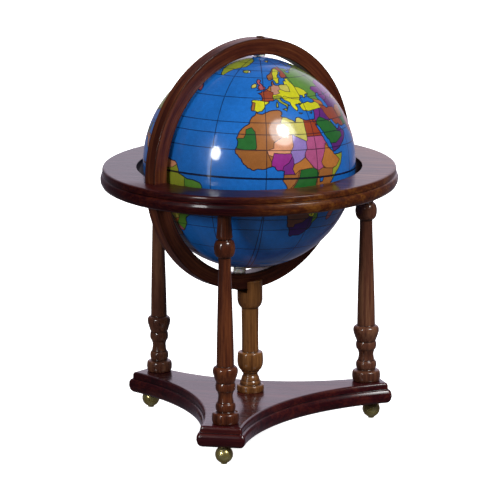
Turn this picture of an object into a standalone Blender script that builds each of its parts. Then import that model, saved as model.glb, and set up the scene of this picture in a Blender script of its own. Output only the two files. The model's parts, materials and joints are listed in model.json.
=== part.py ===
"""A miniature floor globe in its turned wooden stand, at dollhouse scale.

A three-pointed moulded base plate on three brass ball feet carries three turned legs and a
central post. The legs hold a flat horizon ring. A flat meridian ring stands upright in two
notches of the horizon ring and in the slotted head of the post, and the globe ball turns
inside it on two headed brass pins.

Lengths are in millimetres until they reach a mesh, where MM turns them into metres. The
origin is on the floor, under the centre of the ball. -Y is the front, where one leg stands.
"""

import math

import bmesh
import bpy
from mathutils import Matrix, Vector

MM = 0.001

# --- driving dimensions, in millimetres and degrees ---------------------------------------

TOUCH = 0.05  # the air left between two pieces that rest on each other
FIT = 0.08  # the air round a peg in its hole

PIN_HEAD_HEIGHT = 0.25
FOOT_PIN_RADIUS = 0.45
FOOT_PIN_HEAD_RADIUS = 0.75
FOOT_PIN_GRIP = 2.0  # how far a foot's pin goes up into the base plate
FOOT_RADIUS = 2.1
FOOT_BORE = 0.56
FOOT_FLAT = 0.8  # radius of the flat round each mouth of a foot's bore
FOOT_PLACES = {  # distance of each foot from the middle of the stand, and its azimuth
    "front": (31.3, -90.0),
    "right": (30.3, 29.0),
    "left": (31.4, 151.4),
}

BASE_THICKNESS = 5.0
BASE_REACH = 32.6  # from the middle to the straight cut across each corner, at the top edge
BASE_SIDES = (  # azimuth of each hollow side, how near it comes to the middle, its radius
    (-30.0, 12.3, 50.0),
    (90.0, 9.6, 47.4),
    (210.0, 13.7, 53.0),
)
BASE_EDGE = (  # how far the moulded edge stands out from the top edge, and how far below it
    (0.0, 0.0),
    (0.45, 0.18),
    (0.62, 0.65),
    (0.62, 1.65),
    (1.05, 1.75),
    (1.38, 2.4),
    (1.45, 3.3),
    (1.2, 4.3),
    (0.75, 4.85),
    (0.3, 5.0),
)

LEG_AZIMUTHS = {"front": -90.0, "right": 30.0, "left": 150.0}
LEG_GIRTHS = {"front": 1.04, "right": 1.09, "left": 0.98}  # the turnings differ in girth
LEG_CIRCLE = 29.2
LEG_HEIGHT = 50.05
PEG_RADIUS = 0.95
PEG_LENGTH = 2.3

POST_PEG_RADIUS = 1.45
POST_PEG_LENGTH = 2.8
POST_HEAD_TOP = 27.2
POST_HEAD_RADIUS = 3.0
SLOT_FLOOR = 24.5  # height of the saw cut's floor above the base plate

HORIZON_HOLE_RADIUS = 26.5
HORIZON_TOP_RADIUS = 34.05
HORIZON_THICKNESS = 4.65
HORIZON_EDGE = (  # radius of the moulded edge, and depth below the top face
    (34.42, 0.15),
    (34.55, 0.55),
    (34.55, 1.4),
    (34.3, 1.55),
    (34.75, 1.85),
    (35.0, 2.6),
    (34.95, 3.4),
    (34.55, 4.2),
    (33.75, 4.65),
)
NOTCH_REACH = 30.0

CENTRE_ABOVE_HORIZON = 0.5  # the ball's centre, above the horizon ring's top face
MERIDIAN_AZIMUTH = 50.8
POLE_SLANT = 7.0
MERIDIAN_OUTER_RADIUS = 29.85
MERIDIAN_INNER_RADIUS = 26.05
MERIDIAN_THICKNESS = 3.5
SLOT_PLAY = 0.15  # on each side of the meridian ring, in the post
NOTCH_PLAY = 0.2  # on each side of the meridian ring, in the horizon ring

BALL_RADIUS = 25.0
BALL_WALL = 1.0
BALL_SHIFT = 0.3  # how far the ball sits towards the north pin
LIP_WALL = 0.8
LIP_PLAY = 0.25
LIP_HEIGHT = 1.2

PIVOT_RADIUS = 0.6
PIVOT_BORE = 0.68
PIVOT_HEAD_RADIUS = 1.0
PIVOT_HEAD_HEIGHT = 0.35
PIVOT_INNER_END = 22.4
WASHER_RADIUS = 1.5
WASHER_PLAY = 0.2  # between the ball and each washer

LATHE_STEPS = 16
RING_STEPS = 64
BALL_STEPS = 32
PIN_STEPS = 12

# --- heights above the floor ---------------------------------------------------------------

FOOT_HALF_HEIGHT = math.sqrt(FOOT_RADIUS**2 - FOOT_FLAT**2)
FOOT_CENTRE = PIN_HEAD_HEIGHT + TOUCH + FOOT_HALF_HEIGHT
BASE_BOTTOM = FOOT_CENTRE + FOOT_HALF_HEIGHT + TOUCH
BASE_TOP = BASE_BOTTOM + BASE_THICKNESS
HORIZON_BOTTOM = BASE_TOP + LEG_HEIGHT
HORIZON_TOP = HORIZON_BOTTOM + HORIZON_THICKNESS
CENTRE_HEIGHT = HORIZON_TOP + CENTRE_ABOVE_HORIZON


# --- tools -----------------------------------------------------------------------------------


def clear_scene():
    for thing in list(bpy.data.objects):
        bpy.data.objects.remove(thing, do_unlink=True)


def material(name, colour, roughness, metallic=0.0):
    """A Principled material, made once and shared after that."""
    known = bpy.data.materials.get(name)
    if known:
        return known
    made = bpy.data.materials.new(name)
    made.use_nodes = True
    shader = made.node_tree.nodes["Principled BSDF"]
    shader.inputs["Base Color"].default_value = (*colour, 1.0)
    shader.inputs["Roughness"].default_value = roughness
    shader.inputs["Metallic"].default_value = metallic
    return made


def wood(name):
    shades = {
        "mahogany_legs": (0.10, 0.032, 0.013),
        "golden_walnut": (0.15, 0.06, 0.018),
        "dark_mahogany": (0.05, 0.012, 0.012),
    }
    return material(name, shades[name], 0.3)


def brass():
    return material("polished_brass", (0.60, 0.46, 0.16), 0.22, 1.0)


def polar(radius, azimuth, height=0.0):
    """A point in millimetres, from its distance and azimuth round the middle of the stand."""
    angle = math.radians(azimuth)
    return Vector((radius * math.cos(angle), radius * math.sin(angle), height))


def add_object(name, mesh, look, parent=None):
    mesh.shade_smooth()
    mesh.set_sharp_from_angle(angle=math.radians(35))
    mesh.materials.append(look)
    thing = bpy.data.objects.new(name, mesh)
    bpy.context.scene.collection.objects.link(thing)
    thing.parent = parent
    return thing


def turned_mesh(name, profile, steps, closed=False):
    """Spins a (radius, height) profile, given in millimetres, into a solid round local Z."""
    shape = bmesh.new()
    points = [shape.verts.new((radius * MM, 0.0, height * MM)) for radius, height in profile]
    pairs = list(zip(points, points[1:]))
    if closed:
        pairs.append((points[-1], points[0]))
    edges = [shape.edges.new(pair) for pair in pairs]
    bmesh.ops.spin(
        shape,
        geom=points + edges,
        cent=(0.0, 0.0, 0.0),
        axis=(0.0, 0.0, 1.0),
        dvec=(0.0, 0.0, 0.0),
        angle=2.0 * math.pi,
        steps=steps,
        use_merge=True,
    )
    bmesh.ops.remove_doubles(shape, verts=shape.verts, dist=1e-7)
    bmesh.ops.recalc_face_normals(shape, faces=shape.faces)
    mesh = bpy.data.meshes.new(name)
    shape.to_mesh(mesh)
    shape.free()
    return mesh


def bulge(low, high, end_radius, middle_radius, steps=4):
    """Points up a turned bead: a half ellipse that stands out from end_radius."""
    middle = (low + high) / 2
    half = (high - low) / 2
    swell = middle_radius - end_radius
    turns = [math.pi * step / steps for step in range(steps + 1)]
    return [(end_radius + swell * math.sin(t), middle - half * math.cos(t)) for t in turns]


def cutter(name, mesh):
    """A shape that only cuts others: it never renders."""
    thing = bpy.data.objects.new(name, mesh)
    bpy.context.scene.collection.objects.link(thing)
    thing.hide_render = True
    thing.display_type = "WIRE"
    return thing


def rod_cutter(name, radius, low, high, steps=12):
    return cutter(name, turned_mesh(name, [(0, low), (radius, low), (radius, high), (0, high)], steps))


def box_cutter(name, size):
    """A box round its own origin, with its sides in millimetres."""
    shape = bmesh.new()
    bmesh.ops.create_cube(shape, size=1.0)
    bmesh.ops.scale(shape, vec=Vector(size) * MM, verts=shape.verts)
    mesh = bpy.data.meshes.new(name)
    shape.to_mesh(mesh)
    shape.free()
    return cutter(name, mesh)


def cut(thing, tool):
    boolean = thing.modifiers.new(tool.name, "BOOLEAN")
    boolean.operation = "DIFFERENCE"
    boolean.solver = "EXACT"
    boolean.object = tool


# --- the base plate and its feet -------------------------------------------------------------


def side_arc(side, offset, steps=12):
    """Points along one hollow side of the base plate, from one corner's cut to the next."""
    azimuth, nearest, radius = BASE_SIDES[side]
    outward = polar(1.0, azimuth)
    along = polar(1.0, azimuth + 90.0)
    centre_distance = nearest + radius
    reach = radius - offset
    # A corner's direction is 60 degrees from the side's, so its cut line crosses the arc here.
    past_cut = BASE_REACH + offset - centre_distance * math.cos(math.radians(60))
    end = math.radians(30) + math.asin(past_cut / reach)
    turns = [end * (2 * step / steps - 1) for step in range(steps + 1)]
    return [
        outward * (centre_distance - reach * math.cos(t)) + along * reach * math.sin(t)
        for t in turns
    ]


def base_outline(offset):
    return [point for side in range(3) for point in side_arc(side, offset)]


def make_base_plate():
    shape = bmesh.new()
    loops = []
    for offset, drop in BASE_EDGE:
        level = (BASE_TOP - drop) * MM
        loops.append([shape.verts.new((p.x * MM, p.y * MM, level)) for p in base_outline(offset)])
    count = len(loops[0])
    for upper, lower in zip(loops, loops[1:]):
        for i in range(count):
            j = (i + 1) % count
            shape.faces.new((upper[i], lower[i], lower[j], upper[j]))
    shape.faces.new(loops[0])
    shape.faces.new(reversed(loops[-1]))
    bmesh.ops.recalc_face_normals(shape, faces=shape.faces)
    mesh = bpy.data.meshes.new("base_plate")
    shape.to_mesh(mesh)
    shape.free()
    plate = add_object("base_plate", mesh, wood("dark_mahogany"))

    post_socket = rod_cutter("post_socket", POST_PEG_RADIUS + FIT, -POST_PEG_LENGTH - 0.2, 1.0)
    post_socket.location = (0.0, 0.0, BASE_TOP * MM)
    cut(plate, post_socket)
    for leg, azimuth in LEG_AZIMUTHS.items():
        socket = rod_cutter(f"leg_socket_{leg}", PEG_RADIUS + FIT, -PEG_LENGTH - 0.2, 1.0)
        socket.location = polar(LEG_CIRCLE, azimuth, BASE_TOP) * MM
        cut(plate, socket)
        hole = rod_cutter(f"foot_hole_{leg}", FOOT_PIN_RADIUS + FIT, -1.0, FOOT_PIN_GRIP + 0.2)
        hole.location = polar(*FOOT_PLACES[leg], BASE_BOTTOM) * MM
        cut(plate, hole)


def make_feet():
    start = math.asin(FOOT_FLAT / FOOT_RADIUS)
    turns = [start + (math.pi - 2 * start) * step / 6 for step in range(7)]
    ball = [(FOOT_RADIUS * math.sin(t), -FOOT_RADIUS * math.cos(t)) for t in turns]
    bead = [(FOOT_BORE, -FOOT_HALF_HEIGHT), *ball, (FOOT_BORE, FOOT_HALF_HEIGHT)]
    pin_top = BASE_BOTTOM + FOOT_PIN_GRIP
    pin = [
        (0, 0),
        (FOOT_PIN_HEAD_RADIUS, 0),
        (FOOT_PIN_HEAD_RADIUS, PIN_HEAD_HEIGHT),
        (FOOT_PIN_RADIUS, PIN_HEAD_HEIGHT),
        (FOOT_PIN_RADIUS, pin_top),
        (0, pin_top),
    ]
    for leg, place in FOOT_PLACES.items():
        name = f"foot_bead_{leg}"
        foot = add_object(name, turned_mesh(name, bead, LATHE_STEPS, closed=True), brass())
        foot.location = polar(*place, FOOT_CENTRE) * MM
        name = f"foot_pin_{leg}"
        nail = add_object(name, turned_mesh(name, pin, PIN_STEPS), brass())
        nail.location = polar(*place) * MM


# --- the legs and the post -------------------------------------------------------------------


def leg_profile(girth):
    """The turned leg, from its lower peg to its upper peg, with height 0 at its lower shoulder."""
    turned = [
        *bulge(0.0, 2.55, 2.75, 3.1),
        (2.1, 2.7),
        *bulge(2.95, 4.9, 1.95, 2.25),
        (1.8, 5.2),
        (1.64, 6.2),
        (1.66, 6.9),
        (1.85, 7.6),
        *bulge(7.8, 9.7, 2.0, 2.25),
        (2.1, 9.85),
        (2.5, 11.0),
        (2.82, 12.2),
        (2.72, 13.1),
        (2.35, 13.5),
        (1.98, 13.6),
        (1.87, 20.0),
        (1.58, 31.0),
        (1.42, 37.0),
        (1.42, 39.4),
        *bulge(39.5, 43.6, 1.5, 2.38, 5),
        (1.84, 44.2),
        (1.58, 47.3),
        (1.52, LEG_HEIGHT - 2 * TOUCH),
    ]
    lowest = -PEG_LENGTH
    highest = LEG_HEIGHT - 2 * TOUCH + PEG_LENGTH
    lower_peg = [(0, lowest), (PEG_RADIUS, lowest), (PEG_RADIUS, 0)]
    upper_peg = [(PEG_RADIUS, LEG_HEIGHT - 2 * TOUCH), (PEG_RADIUS, highest), (0, highest)]
    return lower_peg + [(radius * girth, height) for radius, height in turned] + upper_peg


def make_legs():
    for leg, azimuth in LEG_AZIMUTHS.items():
        name = f"leg_{leg}"
        mesh = turned_mesh(name, leg_profile(LEG_GIRTHS[leg]), LATHE_STEPS)
        turning = add_object(name, mesh, wood("mahogany_legs"))
        turning.location = polar(LEG_CIRCLE, azimuth, BASE_TOP + TOUCH) * MM


def make_post():
    profile = [
        (0, -POST_PEG_LENGTH),
        (POST_PEG_RADIUS, -POST_PEG_LENGTH),
        (POST_PEG_RADIUS, 0),
        *bulge(0.0, 1.6, 3.05, 3.25, 3),
        (2.5, 1.75),
        (2.45, 2.5),
        (2.2, 2.75),
        (2.05, 3.5),
        (1.76, 4.0),
        (1.76, 4.5),
        (2.1, 4.8),
        (2.2, 5.2),
        (2.7, 5.7),
        (2.97, 6.4),
        (3.08, 7.4),
        (3.0, 9.0),
        (2.85, 9.6),
        (2.0, 9.75),
        (1.97, 14.0),
        (2.05, 20.5),
        (2.4, 20.7),
        (2.75, 21.3),
        (POST_HEAD_RADIUS, 22.3),
        (POST_HEAD_RADIUS, POST_HEAD_TOP),
        (0, POST_HEAD_TOP),
    ]
    mesh = turned_mesh("centre_post", profile, LATHE_STEPS)
    post = add_object("centre_post", mesh, wood("golden_walnut"))
    post.location = (0.0, 0.0, (BASE_TOP + TOUCH) * MM)
    width = MERIDIAN_THICKNESS + 2 * SLOT_PLAY
    height = 10.0
    slot = box_cutter("post_slot", (4 * POST_HEAD_RADIUS, width, height))
    slot.location = (0.0, 0.0, (BASE_TOP + SLOT_FLOOR + height / 2) * MM)
    slot.rotation_euler.z = math.radians(MERIDIAN_AZIMUTH)
    cut(post, slot)


# --- the horizon ring --------------------------------------------------------------------------


def make_horizon_ring():
    profile = [
        (HORIZON_HOLE_RADIUS, HORIZON_BOTTOM),
        (HORIZON_HOLE_RADIUS, HORIZON_TOP),
        (HORIZON_TOP_RADIUS, HORIZON_TOP),
        *[(radius, HORIZON_TOP - drop) for radius, drop in HORIZON_EDGE],
    ]
    mesh = turned_mesh("horizon_ring", profile, RING_STEPS, closed=True)
    ring = add_object("horizon_ring", mesh, wood("dark_mahogany"))

    width = MERIDIAN_THICKNESS + 2 * NOTCH_PLAY
    notches = box_cutter("meridian_notches", (2 * NOTCH_REACH, width, 4 * HORIZON_THICKNESS))
    notches.location = (0.0, 0.0, HORIZON_TOP * MM)
    notches.rotation_euler.z = math.radians(MERIDIAN_AZIMUTH)
    cut(ring, notches)
    for leg, azimuth in LEG_AZIMUTHS.items():
        socket = rod_cutter(f"horizon_socket_{leg}", PEG_RADIUS + FIT, -1.0, PEG_LENGTH + 0.2)
        socket.location = polar(LEG_CIRCLE, azimuth, HORIZON_BOTTOM) * MM
        cut(ring, socket)


# --- the meridian ring, its pins and washers ---------------------------------------------------


def make_meridian(frame):
    """The upright ring and what is fixed to it. In frame, Z is the poles' axis and Y the
    line that the ring turns about when it slides in its notches."""
    half = MERIDIAN_THICKNESS / 2
    profile = [
        (MERIDIAN_INNER_RADIUS, -half),
        (MERIDIAN_OUTER_RADIUS, -half),
        (MERIDIAN_OUTER_RADIUS, half),
        (MERIDIAN_INNER_RADIUS, half),
    ]
    mesh = turned_mesh("meridian_ring", profile, RING_STEPS, closed=True)
    mesh.transform(Matrix.Rotation(math.radians(90), 4, "X"))
    ring = add_object("meridian_ring", mesh, wood("mahogany_legs"), frame)
    reach = MERIDIAN_OUTER_RADIUS + 2.0
    bore = rod_cutter("pivot_bores", PIVOT_BORE, -reach, reach)
    bore.parent = frame
    cut(ring, bore)

    rim = MERIDIAN_OUTER_RADIUS + TOUCH
    pin = [
        (0, PIVOT_INNER_END),
        (PIVOT_RADIUS, PIVOT_INNER_END),
        (PIVOT_RADIUS, rim),
        (PIVOT_HEAD_RADIUS, rim),
        (PIVOT_HEAD_RADIUS, rim + PIVOT_HEAD_HEIGHT),
        (0, rim + PIVOT_HEAD_HEIGHT),
    ]
    seat = MERIDIAN_INNER_RADIUS - 0.1
    nylon = material("pale_washer", (0.72, 0.72, 0.70), 0.4)
    for pole, turn, shift in (("north", 0.0, BALL_SHIFT), ("south", 180.0, -BALL_SHIFT)):
        flip = Matrix.Rotation(math.radians(turn), 4, "Y")
        name = f"pivot_pin_{pole}"
        mesh = turned_mesh(name, pin, PIN_STEPS)
        mesh.transform(flip)
        add_object(name, mesh, brass(), frame)
        rest = BALL_RADIUS + shift + WASHER_PLAY
        washer = [
            (PIVOT_BORE, rest),
            (WASHER_RADIUS, rest),
            (WASHER_RADIUS, seat),
            (PIVOT_BORE, seat),
        ]
        name = f"pivot_washer_{pole}"
        mesh = turned_mesh(name, washer, LATHE_STEPS, closed=True)
        mesh.transform(flip)
        add_object(name, mesh, nylon, frame)


# --- the globe ball ------------------------------------------------------------------------------


def arc(radius, first_height, last_height, steps):
    """Points along a sphere's outline between two heights, evenly spaced by angle."""
    first = math.asin(first_height / radius)
    last = math.asin(last_height / radius)
    turns = [first + (last - first) * step / steps for step in range(steps + 1)]
    return [(radius * math.cos(t), radius * math.sin(t)) for t in turns]


def make_ball(frame):
    """Two hollow halves. The lower one has a lip that centres the upper one."""
    inside = BALL_RADIUS - BALL_WALL
    outer_pole = math.sqrt(BALL_RADIUS**2 - PIVOT_BORE**2)
    inner_pole = math.sqrt(inside**2 - PIVOT_BORE**2)
    seam = TOUCH / 2
    north = [
        *arc(BALL_RADIUS, seam, outer_pole, 7),
        *arc(inside, inner_pole, seam, 6),
    ]
    lip_radius = inside - LIP_PLAY
    south = [
        *arc(BALL_RADIUS, -outer_pole, -seam, 7),
        (lip_radius, -seam),
        (lip_radius, LIP_HEIGHT),
        (lip_radius - LIP_WALL, LIP_HEIGHT),
        (lip_radius - LIP_WALL, -LIP_HEIGHT),
        *arc(inside, -3 * LIP_HEIGHT, -inner_pole, 6),
    ]
    print_look = material("printed_ocean", (0.02, 0.13, 0.42), 0.2)
    for name, profile in (("globe_north_half", north), ("globe_south_half", south)):
        mesh = turned_mesh(name, profile, BALL_STEPS, closed=True)
        mesh.transform(Matrix.Translation((0.0, 0.0, BALL_SHIFT * MM)))
        add_object(name, mesh, print_look, frame)


def main():
    clear_scene()
    make_base_plate()
    make_feet()
    make_legs()
    make_post()
    make_horizon_ring()
    frame = bpy.data.objects.new("meridian_frame", None)
    bpy.context.scene.collection.objects.link(frame)
    frame.location = (0.0, 0.0, CENTRE_HEIGHT * MM)
    frame.rotation_euler = (0.0, math.radians(POLE_SLANT), math.radians(MERIDIAN_AZIMUTH))
    make_meridian(frame)
    make_ball(frame)


main()
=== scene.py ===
"""The looks of the miniature floor globe: turned and varnished wood, brass, and a printed ball.

Every CAD node is replaced by a finer piece of the same size. Lengths are in millimetres until
they reach a mesh, where MM turns them into metres.
"""

import json
import math

import bmesh
import bpy
import numpy as np
from mathutils import Matrix, Vector
from mathutils.geometry import delaunay_2d_cdt


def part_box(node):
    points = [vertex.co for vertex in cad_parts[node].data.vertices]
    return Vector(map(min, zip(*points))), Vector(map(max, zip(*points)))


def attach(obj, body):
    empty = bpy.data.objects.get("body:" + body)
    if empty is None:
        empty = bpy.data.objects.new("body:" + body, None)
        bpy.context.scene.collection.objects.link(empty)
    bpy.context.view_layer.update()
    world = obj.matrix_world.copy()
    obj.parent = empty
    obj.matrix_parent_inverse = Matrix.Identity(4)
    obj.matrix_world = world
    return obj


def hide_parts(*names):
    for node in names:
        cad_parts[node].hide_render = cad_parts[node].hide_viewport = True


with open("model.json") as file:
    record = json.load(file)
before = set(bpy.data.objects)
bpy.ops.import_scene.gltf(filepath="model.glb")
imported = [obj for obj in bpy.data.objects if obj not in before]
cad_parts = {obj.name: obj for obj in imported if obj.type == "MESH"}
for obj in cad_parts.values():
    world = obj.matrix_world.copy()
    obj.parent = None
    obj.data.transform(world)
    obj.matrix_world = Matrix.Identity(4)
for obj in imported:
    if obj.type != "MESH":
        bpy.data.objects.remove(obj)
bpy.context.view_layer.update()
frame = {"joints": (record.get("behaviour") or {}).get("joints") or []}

MM = 0.001
QUARTER = math.pi / 2

# --- dimensions that repeat the CAD model's, in millimetres --------------------------------

BASE_REACH = 32.6
# Each hollow side's direction in degrees, its nearest point to the middle, and its radius.
BASE_SIDES = ((-30.0, 12.3, 50.0), (90.0, 9.6, 47.4), (210.0, 13.7, 53.0))
# The moulded edge, as steps outwards and drops from the top: a small band, then a round one.
BASE_EDGE = (
    *((-0.2, 0.0), (0.0, 0.0), (0.45, 0.18), (0.62, 0.65), (0.62, 1.65)),
    *((1.05, 1.75), (1.38, 2.4), (1.45, 3.3), (1.2, 4.3), (0.75, 4.85), (0.3, 5.0), (-0.2, 5.0)),
)

LEG_GIRTH = 3.1  # the widest radius of a leg whose girth is 1
POST_HEAD_RADIUS = 3.0
POST_SLOT_FLOOR = 24.5
POST_HEIGHT = 27.2
SLOT_WIDTH = 3.8

HORIZON_HOLE = 26.5
# The moulded edge, as radii and drops from the top: a small band, then a round one.
HORIZON_EDGE = (
    *((34.05, 0.0), (34.42, 0.15), (34.55, 0.55), (34.55, 1.4), (34.3, 1.55)),
    *((34.75, 1.85), (35.0, 2.6), (34.95, 3.4), (34.55, 4.2), (33.75, 4.65)),
)
NOTCH_REACH = 30.0
NOTCH_WIDTH = 3.9

MERIDIAN_OUTER = 29.85
MERIDIAN_INNER = 26.05
MERIDIAN_THICKNESS = 3.5

BALL_RADIUS = 25.0
BALL_SHIFT = 0.3  # towards the north pin
PIN_RADIUS = 0.6
PIN_BORE = 0.68
PIN_HEAD_RADIUS = 1.0
PIN_HEAD_HEIGHT = 0.35
WASHER_RADIUS = 1.5
WASHER_PLAY = 0.2
WASHER_SEAT = 25.95

FOOT_RADIUS = 2.1
FOOT_BORE = 0.56
FOOT_FLAT = 0.8
FOOT_PIN_RADIUS = 0.45
FOOT_PIN_HEAD_RADIUS = 0.75
FOOT_PIN_HEAD_HEIGHT = 0.25

AIR = 0.02  # left between a pin and what it is driven into or rests on
LEGS = ("front", "right", "left")

# --- places, from the frame, in millimetres ------------------------------------------------


def low_corner(node):
    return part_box(node)[0] / MM


def high_corner(node):
    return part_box(node)[1] / MM


def middle(node):
    return (low_corner(node) + high_corner(node)) / 2


JOINTS = {joint["name"]: joint for joint in frame["joints"]}
CENTRE = Vector(JOINTS["meridian_tilt"]["pos_m"]) / MM
TILT_LINE = Vector(JOINTS["meridian_tilt"]["axis"]).normalized()
POLE_LINE = Vector(JOINTS["globe_spin"]["axis"]).normalized()
BASE_BOTTOM = low_corner("base_plate").z
BASE_TOP = high_corner("base_plate").z
HORIZON_BOTTOM = low_corner("horizon_ring").z
HORIZON_TOP = high_corner("horizon_ring").z
LEG_HEIGHT = HORIZON_BOTTOM - BASE_TOP

# The meridian ring's own frame: Z is the poles' axis, and Y the line it slides about.
ACROSS = TILT_LINE.cross(POLE_LINE).normalized()
MERIDIAN_FRAME = Matrix.Translation(CENTRE) @ Matrix(
    (ACROSS, TILT_LINE, POLE_LINE)
).transposed().to_4x4()
ALONG_MERIDIAN = Matrix.Rotation(math.atan2(ACROSS.y, ACROSS.x), 4, "Z")

# --- profiles --------------------------------------------------------------------------------

SAMPLE = 0.04  # spacing of the points a profile is smoothed at
KEEP = 0.004  # how far a simplified profile may lie from the smoothed one
SUPPORT = 4  # samples from each end of a straight run where an extra point holds its shading
FULL_BEND = 4.0  # the curvature, per millimetre, that counts as fully standing out


def full_turn(steps):
    """Angles spread evenly round a circle."""
    return np.arange(steps) / steps * 2 * math.pi


def bead(low, high, end_radius, middle_radius, steps=14):
    """Points up a turned bead: a half ellipse that stands out from end_radius."""
    centre = (low + high) / 2
    half = (high - low) / 2
    swell = middle_radius - end_radius
    turns = np.linspace(0.0, math.pi, steps + 1)
    return [(end_radius + swell * math.sin(t), centre - half * math.cos(t)) for t in turns]


def on_spline(a, b, c, d, t):
    """The point that lies t of the way from b to c on a smooth line through all four points."""
    square = (2 * a - 5 * b + 4 * c - d) * t**2
    cube = (3 * b - a - 3 * c + d) * t**3
    return 0.5 * (2 * b + (c - a) * t + square + cube)


def curve(*points, steps=8):
    """A smooth line through all the points, as a turner's gouge sweeps it."""
    p = np.array([points[0], *points, points[-1]], float)
    made = []
    for i in range(1, len(p) - 2):
        made += [on_spline(*p[i - 1 : i + 3], t) for t in np.arange(steps) / steps]
    made.append(p[-2])
    return [tuple(point) for point in made]


def kept_points(line, first, last, keep):
    """Marks the points that a line needs between two others, by how far they lie from it."""
    waiting = [(first, last)]
    while waiting:
        a, b = waiting.pop()
        if b - a < 2:
            continue
        run = line[b] - line[a]
        offset = line[a + 1 : b] - line[a]
        length = max(float(np.hypot(*run)), 1e-9)
        away = np.abs(run[0] * offset[:, 1] - run[1] * offset[:, 0]) / length
        worst = int(np.argmax(away))
        if away[worst] > KEEP:
            middle_point = a + 1 + worst
            keep[middle_point] = True
            waiting += [(a, middle_point), (middle_point, b)]


def blurred(line, spread, closed):
    """Averages each point of a line with its neighbours, over a bell curve whose spread is
    counted in points. The last point of a closed line repeats its first one."""
    reach = int(3 * spread) + 1
    weights = np.exp(-0.5 * (np.arange(-reach, reach + 1) / spread) ** 2)
    weights /= weights.sum()
    if closed:
        before, after = line[-reach - 1 : -1], line[1 : reach + 1]
    else:
        before = 2 * line[0] - line[1 : reach + 1][::-1]
        after = 2 * line[-1] - line[-reach - 1 : -1][::-1]
    padded = np.vstack([before, line, after])
    return np.stack([np.convolve(padded[:, k], weights, "valid") for k in (0, 1)], 1)


def softened(points, blur, closed=False):
    """Rounds a profile's corners as sanding and varnish do. Returns its points, and how much
    each stands out (above 0) or lies in a groove (below 0)."""
    p = np.array(points, float)
    if closed:
        p = np.vstack([p, p[:1]])
    step = np.hypot(*np.diff(p, axis=0).T)
    along = np.concatenate([[0.0], np.cumsum(step)])
    count = max(int(along[-1] / SAMPLE), 8)
    at = np.linspace(0.0, along[-1], count + 1)
    line = np.stack([np.interp(at, along, p[:, 0]), np.interp(at, along, p[:, 1])], 1)
    smooth = blurred(line, blur / SAMPLE, closed)
    run = np.gradient(smooth, axis=0)
    run /= np.maximum(np.hypot(*run.T), 1e-9)[:, None]
    turn = np.gradient(run, axis=0)
    bend = (run[:, 0] * turn[:, 1] - run[:, 1] * turn[:, 0]) / SAMPLE
    half, last = len(smooth) // 2, len(smooth) - 1
    keep = np.zeros(len(smooth), bool)
    keep[[0, half, last]] = True
    kept_points(smooth, 0, half, keep)
    kept_points(smooth, half, last, keep)
    chosen = list(np.flatnonzero(keep))
    for a, b in zip(chosen[:-1], chosen[1:]):
        if b - a > 3 * SUPPORT:
            keep[[a + SUPPORT, b - SUPPORT]] = True
    chosen = np.flatnonzero(keep)
    if closed:
        chosen = chosen[:-1]
    return smooth[chosen], np.clip(bend[chosen], -FULL_BEND, FULL_BEND) / FULL_BEND


# --- meshes ----------------------------------------------------------------------------------

BENT = 28.0  # the radius that bent grain is measured at
TIMBER_STEP = Vector((17.3, 9.1, 43.7))  # from one bit of timber to the next, within its grain
MERGE = 1e-4  # points nearer than this are one


def finished(name, shape, look, body, replaced, sharp=None, place=None, grain="Z", block=0):
    """Puts a bmesh in millimetres in its place, as a piece that rides on its body. The grain of
    its wood runs along its own X or Z, or "round" its Z. Each block is another bit of timber."""
    place = place or Matrix.Identity(4)
    material, slot = LOOKS[look]
    fibre = shape.verts.layers.float_vector.new("grain")
    bend = shape.verts.layers.float.new("grain_bend")
    start = TIMBER_STEP * block
    for vert in shape.verts:
        x, y, z = vert.co
        if grain == "round":
            reach = math.hypot(x, y)
            vert[fibre] = (start + Vector((reach, z, BENT * x / max(reach, 1e-6)))) * MM
            vert[bend] = BENT * y / max(reach, 1e-6) * MM
        elif grain == "X":
            vert[fibre] = (start + Vector((y, z, x))) * MM
        else:
            vert[fibre] = (start + vert.co) * MM
    bmesh.ops.transform(shape, matrix=place, verts=shape.verts)
    bmesh.ops.recalc_face_normals(shape, faces=shape.faces)
    bmesh.ops.scale(shape, vec=Vector((MM, MM, MM)), verts=shape.verts)
    mesh = bpy.data.meshes.new(name)
    shape.to_mesh(mesh)
    shape.free()
    mesh.shade_smooth()
    if sharp is not None:
        mesh.set_sharp_from_angle(angle=math.radians(sharp))
    mesh.materials.append(material)
    piece = bpy.data.objects.new(name, mesh)
    bpy.context.scene.collection.objects.link(piece)
    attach(piece, body)
    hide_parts(*replaced)
    return piece


def lofted(loops, standing, closed=False):
    """A bmesh from loops of points of equal number, one after the other. An open loft is
    capped at both ends. standing says how much each loop stands out."""
    shape = bmesh.new()
    layer = shape.verts.layers.float.new("standing")
    rows = []
    for points, value in zip(loops, standing):
        row = []
        for point in points:
            vert = shape.verts.new(point)
            vert[layer] = value
            row.append(vert)
        rows.append(row)
    steps = list(zip(rows, rows[1:]))
    if closed:
        steps.append((rows[-1], rows[0]))
    for low, high in steps:
        for i in range(len(low)):
            j = (i + 1) % len(low)
            shape.faces.new((low[i], low[j], high[j], high[i]))
    if not closed:
        shape.faces.new(reversed(rows[0]))
        shape.faces.new(rows[-1])
    return shape


def turned(profile, steps, blur, closed=False, phase=0.0, sway=0.0):
    """A lathe turning round Z. sway makes it a little less than round, as hand sanding does."""
    points, standing = softened(profile, blur, closed)
    turns = full_turn(steps)
    roundness = 1 + sway * np.sin(2 * turns + phase)
    loops = [
        [(r * k * math.cos(t), r * k * math.sin(t), z) for t, k in zip(turns, roundness)]
        for r, z in points
    ]
    outward = -standing if closed else standing
    return lofted(loops, outward, closed)


def new_object(name, shape):
    """Makes a bmesh an object of the scene."""
    mesh = bpy.data.meshes.new(name)
    shape.to_mesh(mesh)
    shape.free()
    made = bpy.data.objects.new(name, mesh)
    bpy.context.scene.collection.objects.link(made)
    return made


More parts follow.
